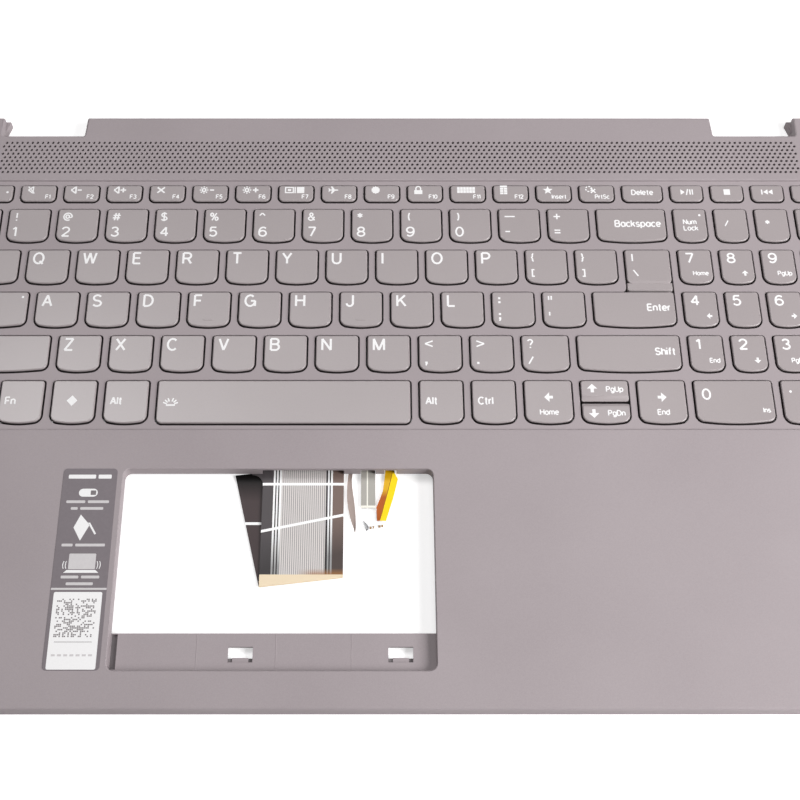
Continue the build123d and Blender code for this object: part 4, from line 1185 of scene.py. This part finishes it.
# %% Tracks, cross lines and wear on the printed film
track = across
pitches = RIBBON_WIDTH / TRACK_PITCH
stages = (("MULTIPLY", pitches), ("FRACT", 0), ("LESS_THAN", TRACK_SHARE), ("MULTIPLY", field))
for operation, value in stages:
    track = add_node(tree, "ShaderNodeMath", {0: track, 1: value}, operation=operation).outputs[0]
leaning = {0: axes["X"], 1: -SLANT, 2: axes["Y"]}
lean = add_node(tree, "ShaderNodeMath", leaning, operation="MULTIPLY_ADD").outputs[0]
cross_lines = []
for along, middle in ((axes["Y"], REAR_LINE), (lean, SLANT_LINE - SLANT * RIBBON_LEFT)):
    near = {0: along, 1: middle * MM, 2: LINE_HALF * MM}
    cross_lines.append(add_node(tree, "ShaderNodeMath", near, operation="COMPARE").outputs[0])
shading = {0: lean, 1: SHADE_REAR * MM, 2: SHADE_FRONT * MM, 3: 1.0, 4: SHADE_KEPT}
shade = add_node(tree, "ShaderNodeMapRange", shading).outputs[0]
shade = add_node(tree, "ShaderNodeMath", {0: shade, 1: field}, operation="MAXIMUM").outputs[0]
burning = {0: axes["Y"], 1: (PRINT_END + BURN_LENGTH) * MM, 2: PRINT_END * MM, 4: BURN_SHARE}
burnt = add_node(tree, "ShaderNodeMapRange", burning).outputs[0]
side = add_node(tree, "ShaderNodeMapRange", {0: axes["X"], 1: BURN_LEFT * MM, 2: BURN_RIGHT * MM}).outputs[0]
burnt = add_node(tree, "ShaderNodeMath", {0: burnt, 1: side}, operation="MULTIPLY").outputs[0]
ending = {0: axes["Y"], 1: (PRINT_END + PRINT_BLUR) * MM, 2: (PRINT_END - PRINT_BLUR) * MM}
bare = add_node(tree, "ShaderNodeMapRange", ending).outputs[0]
shaded = {0: shade, 6: linear("#2b2728"), 7: bands.outputs[0]}
colour = add_node(tree, "ShaderNodeMix", shaded, data_type="RGBA").outputs[2]
layers = [(track, "#8d8687")] + [(line, "#ffffff") for line in cross_lines]
layers += [(burnt, "#a8743f"), (bare, "#eedbbd")]
paint(tree, shader, colour, layers)
print("printed film:", ribbon_print.name, "with", len(layers), "layers over its bands")

# %% Back of the film
BACK_CLOUD, BACK_LINE, DARK_FRONT, DARK_REAR = 25, -53.3, -45, -37
# Dark film with faint clouds, lost in shadow towards the keys
ribbon_back, tree, shader = new_material(
    "back of the polyester ribbon", Roughness=0.4, Specular_IOR_Level=0.15
)
place = add_node(tree, "ShaderNodeTexCoord").outputs["Object"]
axes = add_node(tree, "ShaderNodeSeparateXYZ", {0: place}).outputs
cloud = add_node(tree, "ShaderNodeTexNoise", {"Vector": place, "Scale": per_mm(BACK_CLOUD), "Detail": 1.0})
rear = add_node(tree, "ShaderNodeMapRange", {0: axes["Y"], 1: DARK_FRONT * MM, 2: DARK_REAR * MM}).outputs[0]
near = {0: axes["Y"], 1: BACK_LINE * MM, 2: LINE_HALF * MM}
back_line = add_node(tree, "ShaderNodeMath", near, operation="COMPARE").outputs[0]
layers = [(cloud.outputs["Fac"], "#55494a"), (rear, "#0d0b0b"), (back_line, "#ffffff")]
paint(tree, shader, linear("#392f30"), layers)
print("back of the film:", ribbon_back.name)

# %% Ribbon: drop, slanted fold and return
RIBBON_TOP, RETURN_BOTTOM, MEMBRANE_TOP = 1.35, 0.5, 2.75
FOLD_LEFT_Y, FOLD_SLANT = -76.3, radians(6.7)
DROP_LENGTH, RETURN_LENGTH, TAIL_SINK = 2.6, 42.2, 0.05
ROW_STEP, FOLD_STEPS, RETURN_STEPS, COLUMNS = 1.2, 14, 20, 12
RIPPLE_HEIGHT, RIPPLE_LENGTH, RIPPLE_START = 0.07, 7, 8
fold_radius = (RIBBON_TOP - RETURN_BOTTOM) / 2
half_turn = pi * fold_radius
tail_length = (sheet_front - FOLD_LEFT_Y) * cos(FOLD_SLANT)
rows = [-tail_length + step * ROW_STEP for step in range(int(tail_length / ROW_STEP) + 1)]
rows += [half_turn * step / FOLD_STEPS for step in range(FOLD_STEPS + 1)]
rows += [half_turn + RETURN_LENGTH * step / RETURN_STEPS for step in range(1, RETURN_STEPS + 1)]


def ribbon_point(x, run):
    """Where a point of the flat tail lies: run is its distance past the start of the fold."""
    along = (x - RIBBON_LEFT) / cos(FOLD_SLANT) - run * tan(FOLD_SLANT)
    flat_y = FOLD_LEFT_Y + ((x - RIBBON_LEFT) * sin(FOLD_SLANT) - run) / cos(FOLD_SLANT)
    if run <= 0:
        drop = min(1, max(0, (sheet_front - flat_y) / DROP_LENGTH))
        drop = drop * drop * (3 - 2 * drop)
        ripple = RIPPLE_HEIGHT * sin(run / RIPPLE_LENGTH) * min(1, -run / RIPPLE_START)
        start = MEMBRANE_TOP - TAIL_SINK
        return x, flat_y, start + (RIBBON_TOP - start) * drop + ripple
    turn = min(run / fold_radius, pi)
    out = fold_radius * sin(turn) - max(0, run - half_turn)
    z = RIBBON_TOP - fold_radius * (1 - cos(turn))
    along_x, along_y = along * cos(FOLD_SLANT), along * sin(FOLD_SLANT)
    return RIBBON_LEFT + along_x + out * sin(FOLD_SLANT), FOLD_LEFT_Y + along_y - out * cos(FOLD_SLANT), z


ribbon = bmesh.new()
grid = []
xs = [RIBBON_LEFT + RIBBON_WIDTH * column / COLUMNS for column in range(COLUMNS + 1)]
for run in rows:
    grid.append([ribbon.verts.new(ribbon_point(x, run)) for x in xs])
for row, (line, below) in enumerate(zip(grid, grid[1:])):
    for column in range(COLUMNS):
        quad = ribbon.faces.new([line[column], below[column], below[column + 1], line[column + 1]])
        quad.material_index = rows[row] >= half_turn
ribbon.normal_update()
bmesh.ops.solidify(ribbon, geom=ribbon.faces[:], thickness=FILM)
ribbon_tail = finish_piece(
    ribbon, "ribbon_tail", [ribbon_print, ribbon_back], "palmrest", "membrane_circuit"
)
print("ribbon:", len(ribbon_tail.data.polygons), "faces, folded at", FOLD_LEFT_Y)

# %% Flat sheets of the membrane and of the backlight
MEMBRANE_BOTTOM, GUIDE_BOTTOM, GUIDE_TOP = 2.5, 1.75, 2.1
membrane = sheet_mesh(MEMBRANE_BOTTOM, MEMBRANE_TOP)
finish_piece(membrane, "membrane_sheet", [black_film_and_gap_shade], "palmrest", "membrane_circuit")
guide = sheet_mesh(GUIDE_BOTTOM, GUIDE_TOP)
finish_piece(guide, "light_guide_sheet", [light_guide], "palmrest", "backlight_sheet")
print("sheets under the keys: membrane and light guide")

# %% [markdown]
# ## Backlight tail and amber flex
# The backlight has a short tail of its own: a grey shielded strip that ends in a clear polyester
# tab, with a sliver of clear film curling beside it; the curl and the tab's folded edge are drawn
# in opaque tones, as painted shade. Next to the tail lies a flex circuit of amber polyimide,
# creased along its middle, so that one half turns to the light and the other away. The lit half,
# the crease and the shaded half are drawn in three tones, as painted light and shade.

# %% Finishes of the tails
TAIL_LEFT, TAIL_RIGHT, TAIL_END = -14.6, -9.5, -47.7
STRIPE_X, STRIPE_HALF, END_LINE_Y, END_LINE_HALF = -12.35, 0.22, -47.2, 0.45
FLEX_SHADE_REAR, FLEX_SHADE_FRONT = -40.5, -43.5
satin = {"Roughness": 0.4, "Specular_IOR_Level": 0.2}
# A pale veil and a sharp glint, with what lies below showing through
clear_film = speckled("clear polyester film", "#f4f6f8", "#ffffff", 2.0, Roughness=0.15, Alpha=0.3)
# Matt beige: clear film drawn opaque, with painted shade where it curls
curl_shade_film = speckled("clear film, painted curl shade", "#a8968f", "#b5a49d", 4.0, **satin)
# Smoky grey: painted shade on the folded edge of the clear tab
fold_shade_film = speckled("clear film, painted fold shade", "#57555a", "#77757a", 1.0, Roughness=0.3)
# Dull brown metal on the contacts
copper_pads = speckled("tinned copper", "#7d5b3c", "#a98a63", 0.6, Roughness=0.4, Metallic=0.5)
# Painted shade: a dark amber line along the crease
crease_shade_film = speckled("polyimide, painted crease shade", "#8a5412", "#9a6420", 2.5, **satin)
# Painted light: bright yellow on the half that faces the light
lit_flex_film = speckled("polyimide, painted light", "#f7c90c", "#fddf2a", 2.5, **satin)
# Painted shade on the half that faces away: yellow near the keys, darkening to orange where the strip turns
# away
shaded_flex_film, tree, shader = new_material("amber polyimide", **satin)
place = add_node(tree, "ShaderNodeTexCoord").outputs["Object"]
axes = add_node(tree, "ShaderNodeSeparateXYZ", {0: place}).outputs
flex_shading = {0: axes["Y"], 1: FLEX_SHADE_REAR * MM, 2: FLEX_SHADE_FRONT * MM}
flex_shade = add_node(tree, "ShaderNodeMapRange", flex_shading).outputs[0]
paint(tree, shader, linear("#f4bd18"), [(flex_shade, "#c2621a")])
# Flat grey with a pale line along it and one across its end
grey_strip, tree, shader = new_material("grey shielded film", Roughness=0.4)
place = add_node(tree, "ShaderNodeTexCoord").outputs["Object"]
axes = add_node(tree, "ShaderNodeSeparateXYZ", {0: place}).outputs
layers = []
for axis, middle, half in (("X", STRIPE_X, STRIPE_HALF), ("Y", END_LINE_Y, END_LINE_HALF)):
    near = {0: axes[axis], 1: middle * MM, 2: half * MM}
    share = add_node(tree, "ShaderNodeMath", near, operation="COMPARE").outputs[0]
    layers.append((share, "#f6f3e8"))
paint(tree, shader, linear("#aaa69f"), layers)
tail_finishes = (clear_film, curl_shade_film, fold_shade_film, copper_pads, shaded_flex_film, grey_strip)
print("tail finishes:", [material.name for material in tail_finishes])


# %% Backlight tail
def film_strip(name, lines, thickness, materials, slot, node):
    """A film through lines of points, each line from left to right; materials go by column."""
    strip = bmesh.new()
    grid = [[strip.verts.new(point) for point in line] for line in lines]
    for line, below in zip(grid, grid[1:]):
        for column in range(len(line) - 1):
            quad = strip.faces.new([line[column], below[column], below[column + 1], line[column + 1]])
            quad.material_index = column % len(materials)
    strip.normal_update()
    bmesh.ops.solidify(strip, geom=strip.faces[:], thickness=thickness)
    piece = finish_piece(strip, name, materials, "palmrest", node)
    print(name, len(piece.data.polygons), "faces")


BACKLIGHT = ("light_guide", "backlight_sheet")
TAIL_FILM, THIN_FILM = 0.3, 0.1
# Places along Y and heights, from the light guide down into the window
tail_rows = [(-13.0, 2.1), (-13.6, 2.05), (-14.6, 1.75), (-15.6, 1.5)]
tail_rows += [(-16.4, 1.45), (-30.0, 1.45), (TAIL_END, 1.4)]
tail_lines = [[(TAIL_LEFT, y, z), (TAIL_RIGHT, y, z)] for y, z in tail_rows]
film_strip("backlight_tail", tail_lines, TAIL_FILM, [grey_strip], *BACKLIGHT)

# %% Tab, its fold and its contacts
TAB_OVERLAP, TAB_LENGTH, TAB_INSET, TAB_TAPER, TAB_FLARE, TAB_SKEW = 0.6, 8.6, 0.2, 2.0, 2.6, 1.2
TAB_Z, TAB_FALL, TAB_CURL, STEPS, TAB_PARTS = 1.25, 0.75, 0.3, 8, 4
tab_lines = []
for step in range(STEPS + 1):
    share = step / STEPS
    y = TAIL_END + TAB_OVERLAP - TAB_LENGTH * share
    left = TAIL_LEFT + TAB_INSET + TAB_TAPER * max(0, share - 0.5) ** 2 * 4
    right = TAIL_RIGHT + TAB_FLARE * min(1, share * 1.6)
    z = TAB_Z - TAB_FALL * share + TAB_CURL * share ** 4
    parts = [part / TAB_PARTS for part in range(TAB_PARTS + 1)]
    tab_lines.append([(left + (right - left) * part, y + TAB_SKEW * part * share, z) for part in parts])
film_strip("backlight_tab", tab_lines, THIN_FILM, [clear_film], *BACKLIGHT)
FOLD_X, FOLD_REAR, FOLD_LENGTH, FOLD_LEAN, FOLD_WIDTH = -13.9, -52.3, 3.9, 1.3, 1.5
fold_lines = []
for step in range(STEPS + 1):
    share = step / STEPS
    left = FOLD_X + FOLD_LEAN * share
    width = FOLD_WIDTH * sin(pi * share) ** 0.8 * (0.4 + 0.6 * share) + 0.05
    y = FOLD_REAR - FOLD_LENGTH * share
    fold_lines.append([(left, y, 0.55), (left + width, y + 0.3 * share, 0.85)])
film_strip("backlight_tab_fold", fold_lines, THIN_FILM, [fold_shade_film], *BACKLIGHT)
CONTACT_DEPTH, CONTACT_LOW, CONTACT_HIGH = 0.9, 0.75, 0.9
pads = bmesh.new()
for x, y, width in ((-11.2, -54.9, 0.7), (-10.2, -54.7, 0.5), (-8.1, -54.4, 0.8), (-7.1, -54.2, 0.7)):
    add_block(pads, x, y, width, CONTACT_DEPTH, CONTACT_LOW, CONTACT_HIGH)
finish_piece(pads, "backlight_pads", [copper_pads], "palmrest", "backlight_sheet")

# %% Curled film edge
CURL_LEFT, CURL_WIDTH, CURL_STEPS, CURL_REAR, CURL_LENGTH = -19.0, 1.5, 12, -33.0, 23.9
CURL_Z, CURL_RISE, CURL_BULGE = 0.9, 0.3, 1.1
parts = [part / 3 for part in range(4)]
curl_lines = []
for y, z in ((-13.0, 2.1), (-13.6, 2.05), (-14.6, 1.7), (-15.6, 1.3), (-16.4, 1.2), (-28.0, 1.05)):
    curl_lines.append([(CURL_LEFT + CURL_WIDTH * part, y, z) for part in parts])
for step in range(CURL_STEPS + 1):
    share = step / CURL_STEPS
    left = CURL_LEFT - 0.75 * sin(min(1, share * 1.1) * pi) + 2.3 * share ** 3
    width = CURL_WIDTH + CURL_BULGE * sin(pi * max(0, share - 0.2) / 0.8) - 1.45 * share ** 4
    y = CURL_REAR - CURL_LENGTH * share
    curl_lines.append([(left + width * part, y, CURL_Z + CURL_RISE * part ** 2) for part in parts])
film_strip("backlight_film_edge", curl_lines, THIN_FILM, [curl_shade_film], *BACKLIGHT)

# %% Shoulder, where the ribbon widens towards the membrane
SHOULDER_REAR, SHOULDER_STRAIGHT, SHOULDER_FRONT, SHOULDER_REACH, SHOULDER_Z = -32.0, -35.0, -38.5, 4.0, 1.3
shoulder_left = RIBBON_LEFT - SHOULDER_REACH
shoulder_lines = [[(shoulder_left, SHOULDER_REAR, SHOULDER_Z), (RIBBON_LEFT, SHOULDER_REAR, SHOULDER_Z)]]
for step in range(STEPS + 1):
    turn = pi / 2 * (1 - step / STEPS)
    y = SHOULDER_FRONT + (SHOULDER_STRAIGHT - SHOULDER_FRONT) * sin(turn)
    left = RIBBON_LEFT - SHOULDER_REACH * (1 - 0.98 * cos(turn))
    shoulder_lines.append([(left, y, SHOULDER_Z), (RIBBON_LEFT, y, SHOULDER_Z)])
film_strip("ribbon_shoulder", shoulder_lines, THIN_FILM, [ribbon_print], "membrane_film", "membrane_circuit")

# %% Amber flex
# Rows from under the light guide to the free end: the place along Y, the height, how far the crease
# stands up, and the left edge, the crease and the right edge
FLEX_Z, FLEX_FILM, CREASE_RISE, CREASE_HALF = 1.1, 0.2, 0.4, 0.11
FLEX_ROWS = (
    (-7.4, 1.74, 0, -5.0, -3.0, -1.0),
    (-13.4, 1.74, 0, -5.0, -3.0, -1.0),
    (-16.0, FLEX_Z, 0, -5.1, -3.0, -1.2),
    (-31.0, FLEX_Z, CREASE_RISE, -5.9, -3.4, -2.9),
    (-34.2, FLEX_Z, CREASE_RISE, -6.05, -3.5, -2.6),
    (-36.5, FLEX_Z, CREASE_RISE, -6.3, -3.95, -1.45),
    (-41.0, FLEX_Z, CREASE_RISE, -6.85, -5.0, -2.5),
    (-44.0, FLEX_Z, CREASE_RISE, -7.9, -5.75, -3.25),
    (-47.4, FLEX_Z, CREASE_RISE, -9.2, -6.65, -4.3),
    (-50.0, FLEX_Z, CREASE_RISE, -9.1, -7.3, -5.05),
    (-52.4, FLEX_Z, CREASE_RISE, -8.95, -7.97, -5.75),
)
flex_lines = []
for y, z, rise, left, crease, right in FLEX_ROWS:
    ridge = [(crease - CREASE_HALF, y, z + rise), (crease + CREASE_HALF, y, z + rise)]
    flex_lines.append([(left, y, z), *ridge, (right, y, z)])
flex_finishes = [shaded_flex_film, crease_shade_film, lit_flex_film]
film_strip("backlight_flex_strip", flex_lines, FLEX_FILM, flex_finishes, "flex_film", "backlight_flex")

# %% [markdown]
# ## The feature label
# A dark film label beside the window lists what the laptop can do. Its words are only shown as
# pale bars, and its code as a made-up pattern of dark dots on a white panel. Each mark is a thin
# plate that stands a hair above the film.

# %% Label film, and how a mark is made
LABEL_LEFT, LABEL_RIGHT, LABEL_FRONT, LABEL_REAR, LABEL_TOP = -119.4, -100.4, -107.1, -34.8, 6.62
LABEL_CORNER, LABEL_EDGE, MARK_SINK, MARK_LAYER, WORD_GAP = 1.4, 0.03, 0.02, 0.012, 0.9
# Dark matt film, and two inks that stand for words and for dark print
label_film = speckled("dark matt label film", "#6f666b", "#797075", 1.0, Roughness=0.5)
pale_ink = speckled("grey label ink", "#c9c4c6", "#d5d1d2", 1.0, Roughness=0.5)
dark_ink = speckled("dark label ink", "#6d6668", "#7c7577", 1.0, Roughness=0.5)
label = bmesh.new()
label_middle = (LABEL_LEFT + LABEL_RIGHT) / 2
label_width, label_depth = LABEL_RIGHT - LABEL_LEFT, LABEL_REAR - LABEL_FRONT
plate = rectangle(label_middle, (LABEL_FRONT + LABEL_REAR) / 2, label_width, label_depth)
face = flat_face(label, plate, COVER_TOP)
face = round_corners(label, face.verts[:], LABEL_CORNER, 5)
step_face(label, face, (0.0, LABEL_TOP - COVER_TOP - LABEL_EDGE), (LABEL_EDGE, LABEL_EDGE))
close_loop(label, COVER_TOP)


def mark(corners, finish, radius=0.0, layer=1):
    """A printed patch on the label, a little higher for each layer."""
    face = flat_face(label, corners, LABEL_TOP - MARK_SINK)
    if radius:
        face = round_corners(label, face.verts[:], radius, 4)
    step_face(label, face, (0.0, MARK_SINK + MARK_LAYER * layer))
    for patch in [face] + [near for edge in face.edges for near in edge.link_faces]:
        patch.material_index = finish
    close_loop(label, LABEL_TOP - MARK_SINK).material_index = finish


def bar(x, y, width, height, finish=1, radius=0.0, layer=1):
    """A rectangular mark."""
    mark(rectangle(x, y, width, height), finish, radius, layer)


def word_bars(x, y, words, height=1.0, finish=2):
    """Bars in place of words, centred about x."""
    left = x - (sum(words) + WORD_GAP * (len(words) - 1)) / 2
    for width in words:
        bar(left + width / 2, y, width, height, finish, 0.3)
        left += width + WORD_GAP


print("label film:", round(label_width, 1), "by", round(label_depth, 1), "mm")

# %% Marks on the label
# A heading, a rounded sign and two slanted patches, each with its words
word_bars(label_middle, -37.9, [9.6, 4.6], 1.5, 1)
bar(-110.0, -44.0, 6.6, 3.0, 1, 1.45)
bar(-108.2, -44.0, 1.9, 1.7, 3, 0.2, 2)
word_bars(label_middle, -47.4, [6.6, 7.4])
word_bars(label_middle, -49.9, [2.4, 8.0])
mark([(-113.9, -57.0), (-111.2, -61.8), (-108.4, -56.0), (-111.8, -52.2)], 1)
mark([(-109.0, -55.2), (-108.6, -56.0), (-106.4, -59.6), (-105.9, -59.2), (-108.3, -55.2)], 1)
word_bars(label_middle, -63.4, [3.8, 10.2])
# A laptop between sound waves, with its words
bar(-109.7, -69.3, 9.2, 5.6, 2, 0.3)
mark([(-115.8, -73.4), (-103.8, -73.4), (-104.9, -72.4), (-114.7, -72.4)], 1)
for signs, x in (("((", -115.6), ("))", -104.0)):
    print_signs(label, 1, signs, 3.0, x, -70.6, LABEL_TOP + INK_SINK, "centre", 0.9)
word_bars(label_middle, -74.9, [6.0, 6.2])
word_bars(label_middle, -77.3, [9.2])
# A white panel with the made-up code
bar(label_middle, -79.1, label_width - 0.2, 0.7, 2)
bar(label_middle - 0.05, -93.5, 16.4, 26.6, 1, 0.6)
random.seed(7)
CODE_CELLS, CODE_SIZE, CODE_X, CODE_Y, CODE_SHARE, CODE_DOT = 23, 13.4, -110.1, -89.2, 0.42, 0.8
cell = CODE_SIZE / CODE_CELLS
for row in range(CODE_CELLS):
    for column in range(CODE_CELLS):
        if random.random() < CODE_SHARE:
            x = CODE_X + (column - (CODE_CELLS - 1) / 2) * cell
            y = CODE_Y + (row - (CODE_CELLS - 1) / 2) * cell
            bar(x, y, cell * CODE_DOT, cell * CODE_DOT, 3, 0, 2)
bar(-110.0, -97.5, 12.6, 0.18, 3, 0, 2)
for column in range(7):
    bar(-116.2 + column * 2.05, -102.0, 1.3, 0.7, 2, 0, 2)
label_finishes = [label_film, white_ink, pale_ink, dark_ink]
label_piece = finish_piece(
    label, "printed_feature_label", label_finishes, "palmrest", "feature_label"
)
print("label:", len(label_piece.data.polygons), "faces")

# %% [markdown]
# ## Pieces kept from the frame
# The aluminium plate and the speaker cloth have the right shape already, so they keep their solids
# and only take a finish.

# %% Finishes on kept solids
kept = {"base_plate": aluminium, "speaker_mesh": speaker_cloth}
for node, material in kept.items():
    slots = frame["nodes"][node].data.materials
    slots.clear()
    slots.append(material)
print("kept:", list(kept))

# %% [markdown]
# ## Camera, light and floor
# The camera looks down at the palm rest from the front, a little left of the middle, as in the
# photograph; its lens and place were fitted to the key grid. A large soft lamp stands at the right
# and two weaker ones hang above. The floor is plain white. It adds a little light of its own where
# the camera sees it, straight or in a reflection, so it stays white but keeps shadows.

# %% Camera
camera_data = bpy.data.cameras.new("camera")
camera_data.lens = 59.55
camera_data.shift_x = 0.0325
camera_data.clip_start = 0.01
camera = bpy.data.objects.new("camera", camera_data)
camera.location = (-0.0100, -0.2207, 0.4361)
camera.rotation_euler = (radians(26.37), 0, 0)
bpy.context.scene.collection.objects.link(camera)
bpy.context.scene.camera = camera
bpy.context.scene.view_settings.view_transform = "Standard"
print("camera: lens", round(camera_data.lens, 2), "mm")


# %% Lamps and surroundings
def soft_lamp(name, place, size, power):
    """A square lamp that faces the middle of the cover."""
    lamp_data = bpy.data.lights.new(name, "AREA")
    lamp_data.energy = power
    lamp_data.size = size
    lamp = bpy.data.objects.new(name, lamp_data)
    lamp.location = place
    lamp.rotation_euler = (-lamp.location).to_track_quat("-Z", "Y").to_euler()
    bpy.context.scene.collection.objects.link(lamp)


soft_lamp("right softbox", (0.71, -0.32, 0.54), 0.5, 10.4)
soft_lamp("left softbox", (-0.42, 0.39, 1.1), 0.35, 3.3)
soft_lamp("overhead softbox", (0.0, 0.3, 1.1), 0.6, 2.6)
world = bpy.data.worlds.new("studio")
world.use_nodes = True
WORLD_LIGHT, WORLD_SEEN = 0.08, 1.0
background = world.node_tree.nodes["Background"]
background.inputs["Color"].default_value = linear("#ffffff")
paths = add_node(world.node_tree, "ShaderNodeLightPath").outputs
levels = {0: paths["Is Camera Ray"], 3: WORLD_LIGHT, 4: WORLD_SEEN}
strength = add_node(world.node_tree, "ShaderNodeMapRange", levels)
world.node_tree.links.new(strength.outputs[0], background.inputs["Strength"])
bpy.context.scene.world = world
print("lamps:", len(bpy.data.lights), "and a world of strength", WORLD_LIGHT)

# %% Floor
FLOOR_HALF, FLOOR_GLOW = 4.0, 0.5
# Even white with a soft shadow
floor_material, tree, shader = new_material("matt white studio floor", Roughness=0.9)
shader.inputs["Base Color"].default_value = linear("#f4f3f3")
paths = add_node(tree, "ShaderNodeLightPath").outputs
seen = paths["Is Camera Ray"]
for kind in ("Is Glossy Ray", "Is Transmission Ray"):
    seen = add_node(tree, "ShaderNodeMath", {0: seen, 1: paths[kind]}, operation="MAXIMUM").outputs[0]
glow = add_node(tree, "ShaderNodeMath", {0: seen, 1: FLOOR_GLOW}, operation="MULTIPLY")
shader.inputs["Emission Color"].default_value = linear("#ffffff")
tree.links.new(glow.outputs[0], shader.inputs["Emission Strength"])
bm = bmesh.new()
bmesh.ops.create_grid(bm, x_segments=1, y_segments=1, size=FLOOR_HALF)
floor_mesh = bpy.data.meshes.new("floor")
bm.to_mesh(floor_mesh)
bm.free()
floor_mesh.materials.append(floor_material)
floor = bpy.data.objects.new("floor", floor_mesh)
bpy.context.scene.collection.objects.link(floor)
print("floor:", 2 * FLOOR_HALF, "m wide")
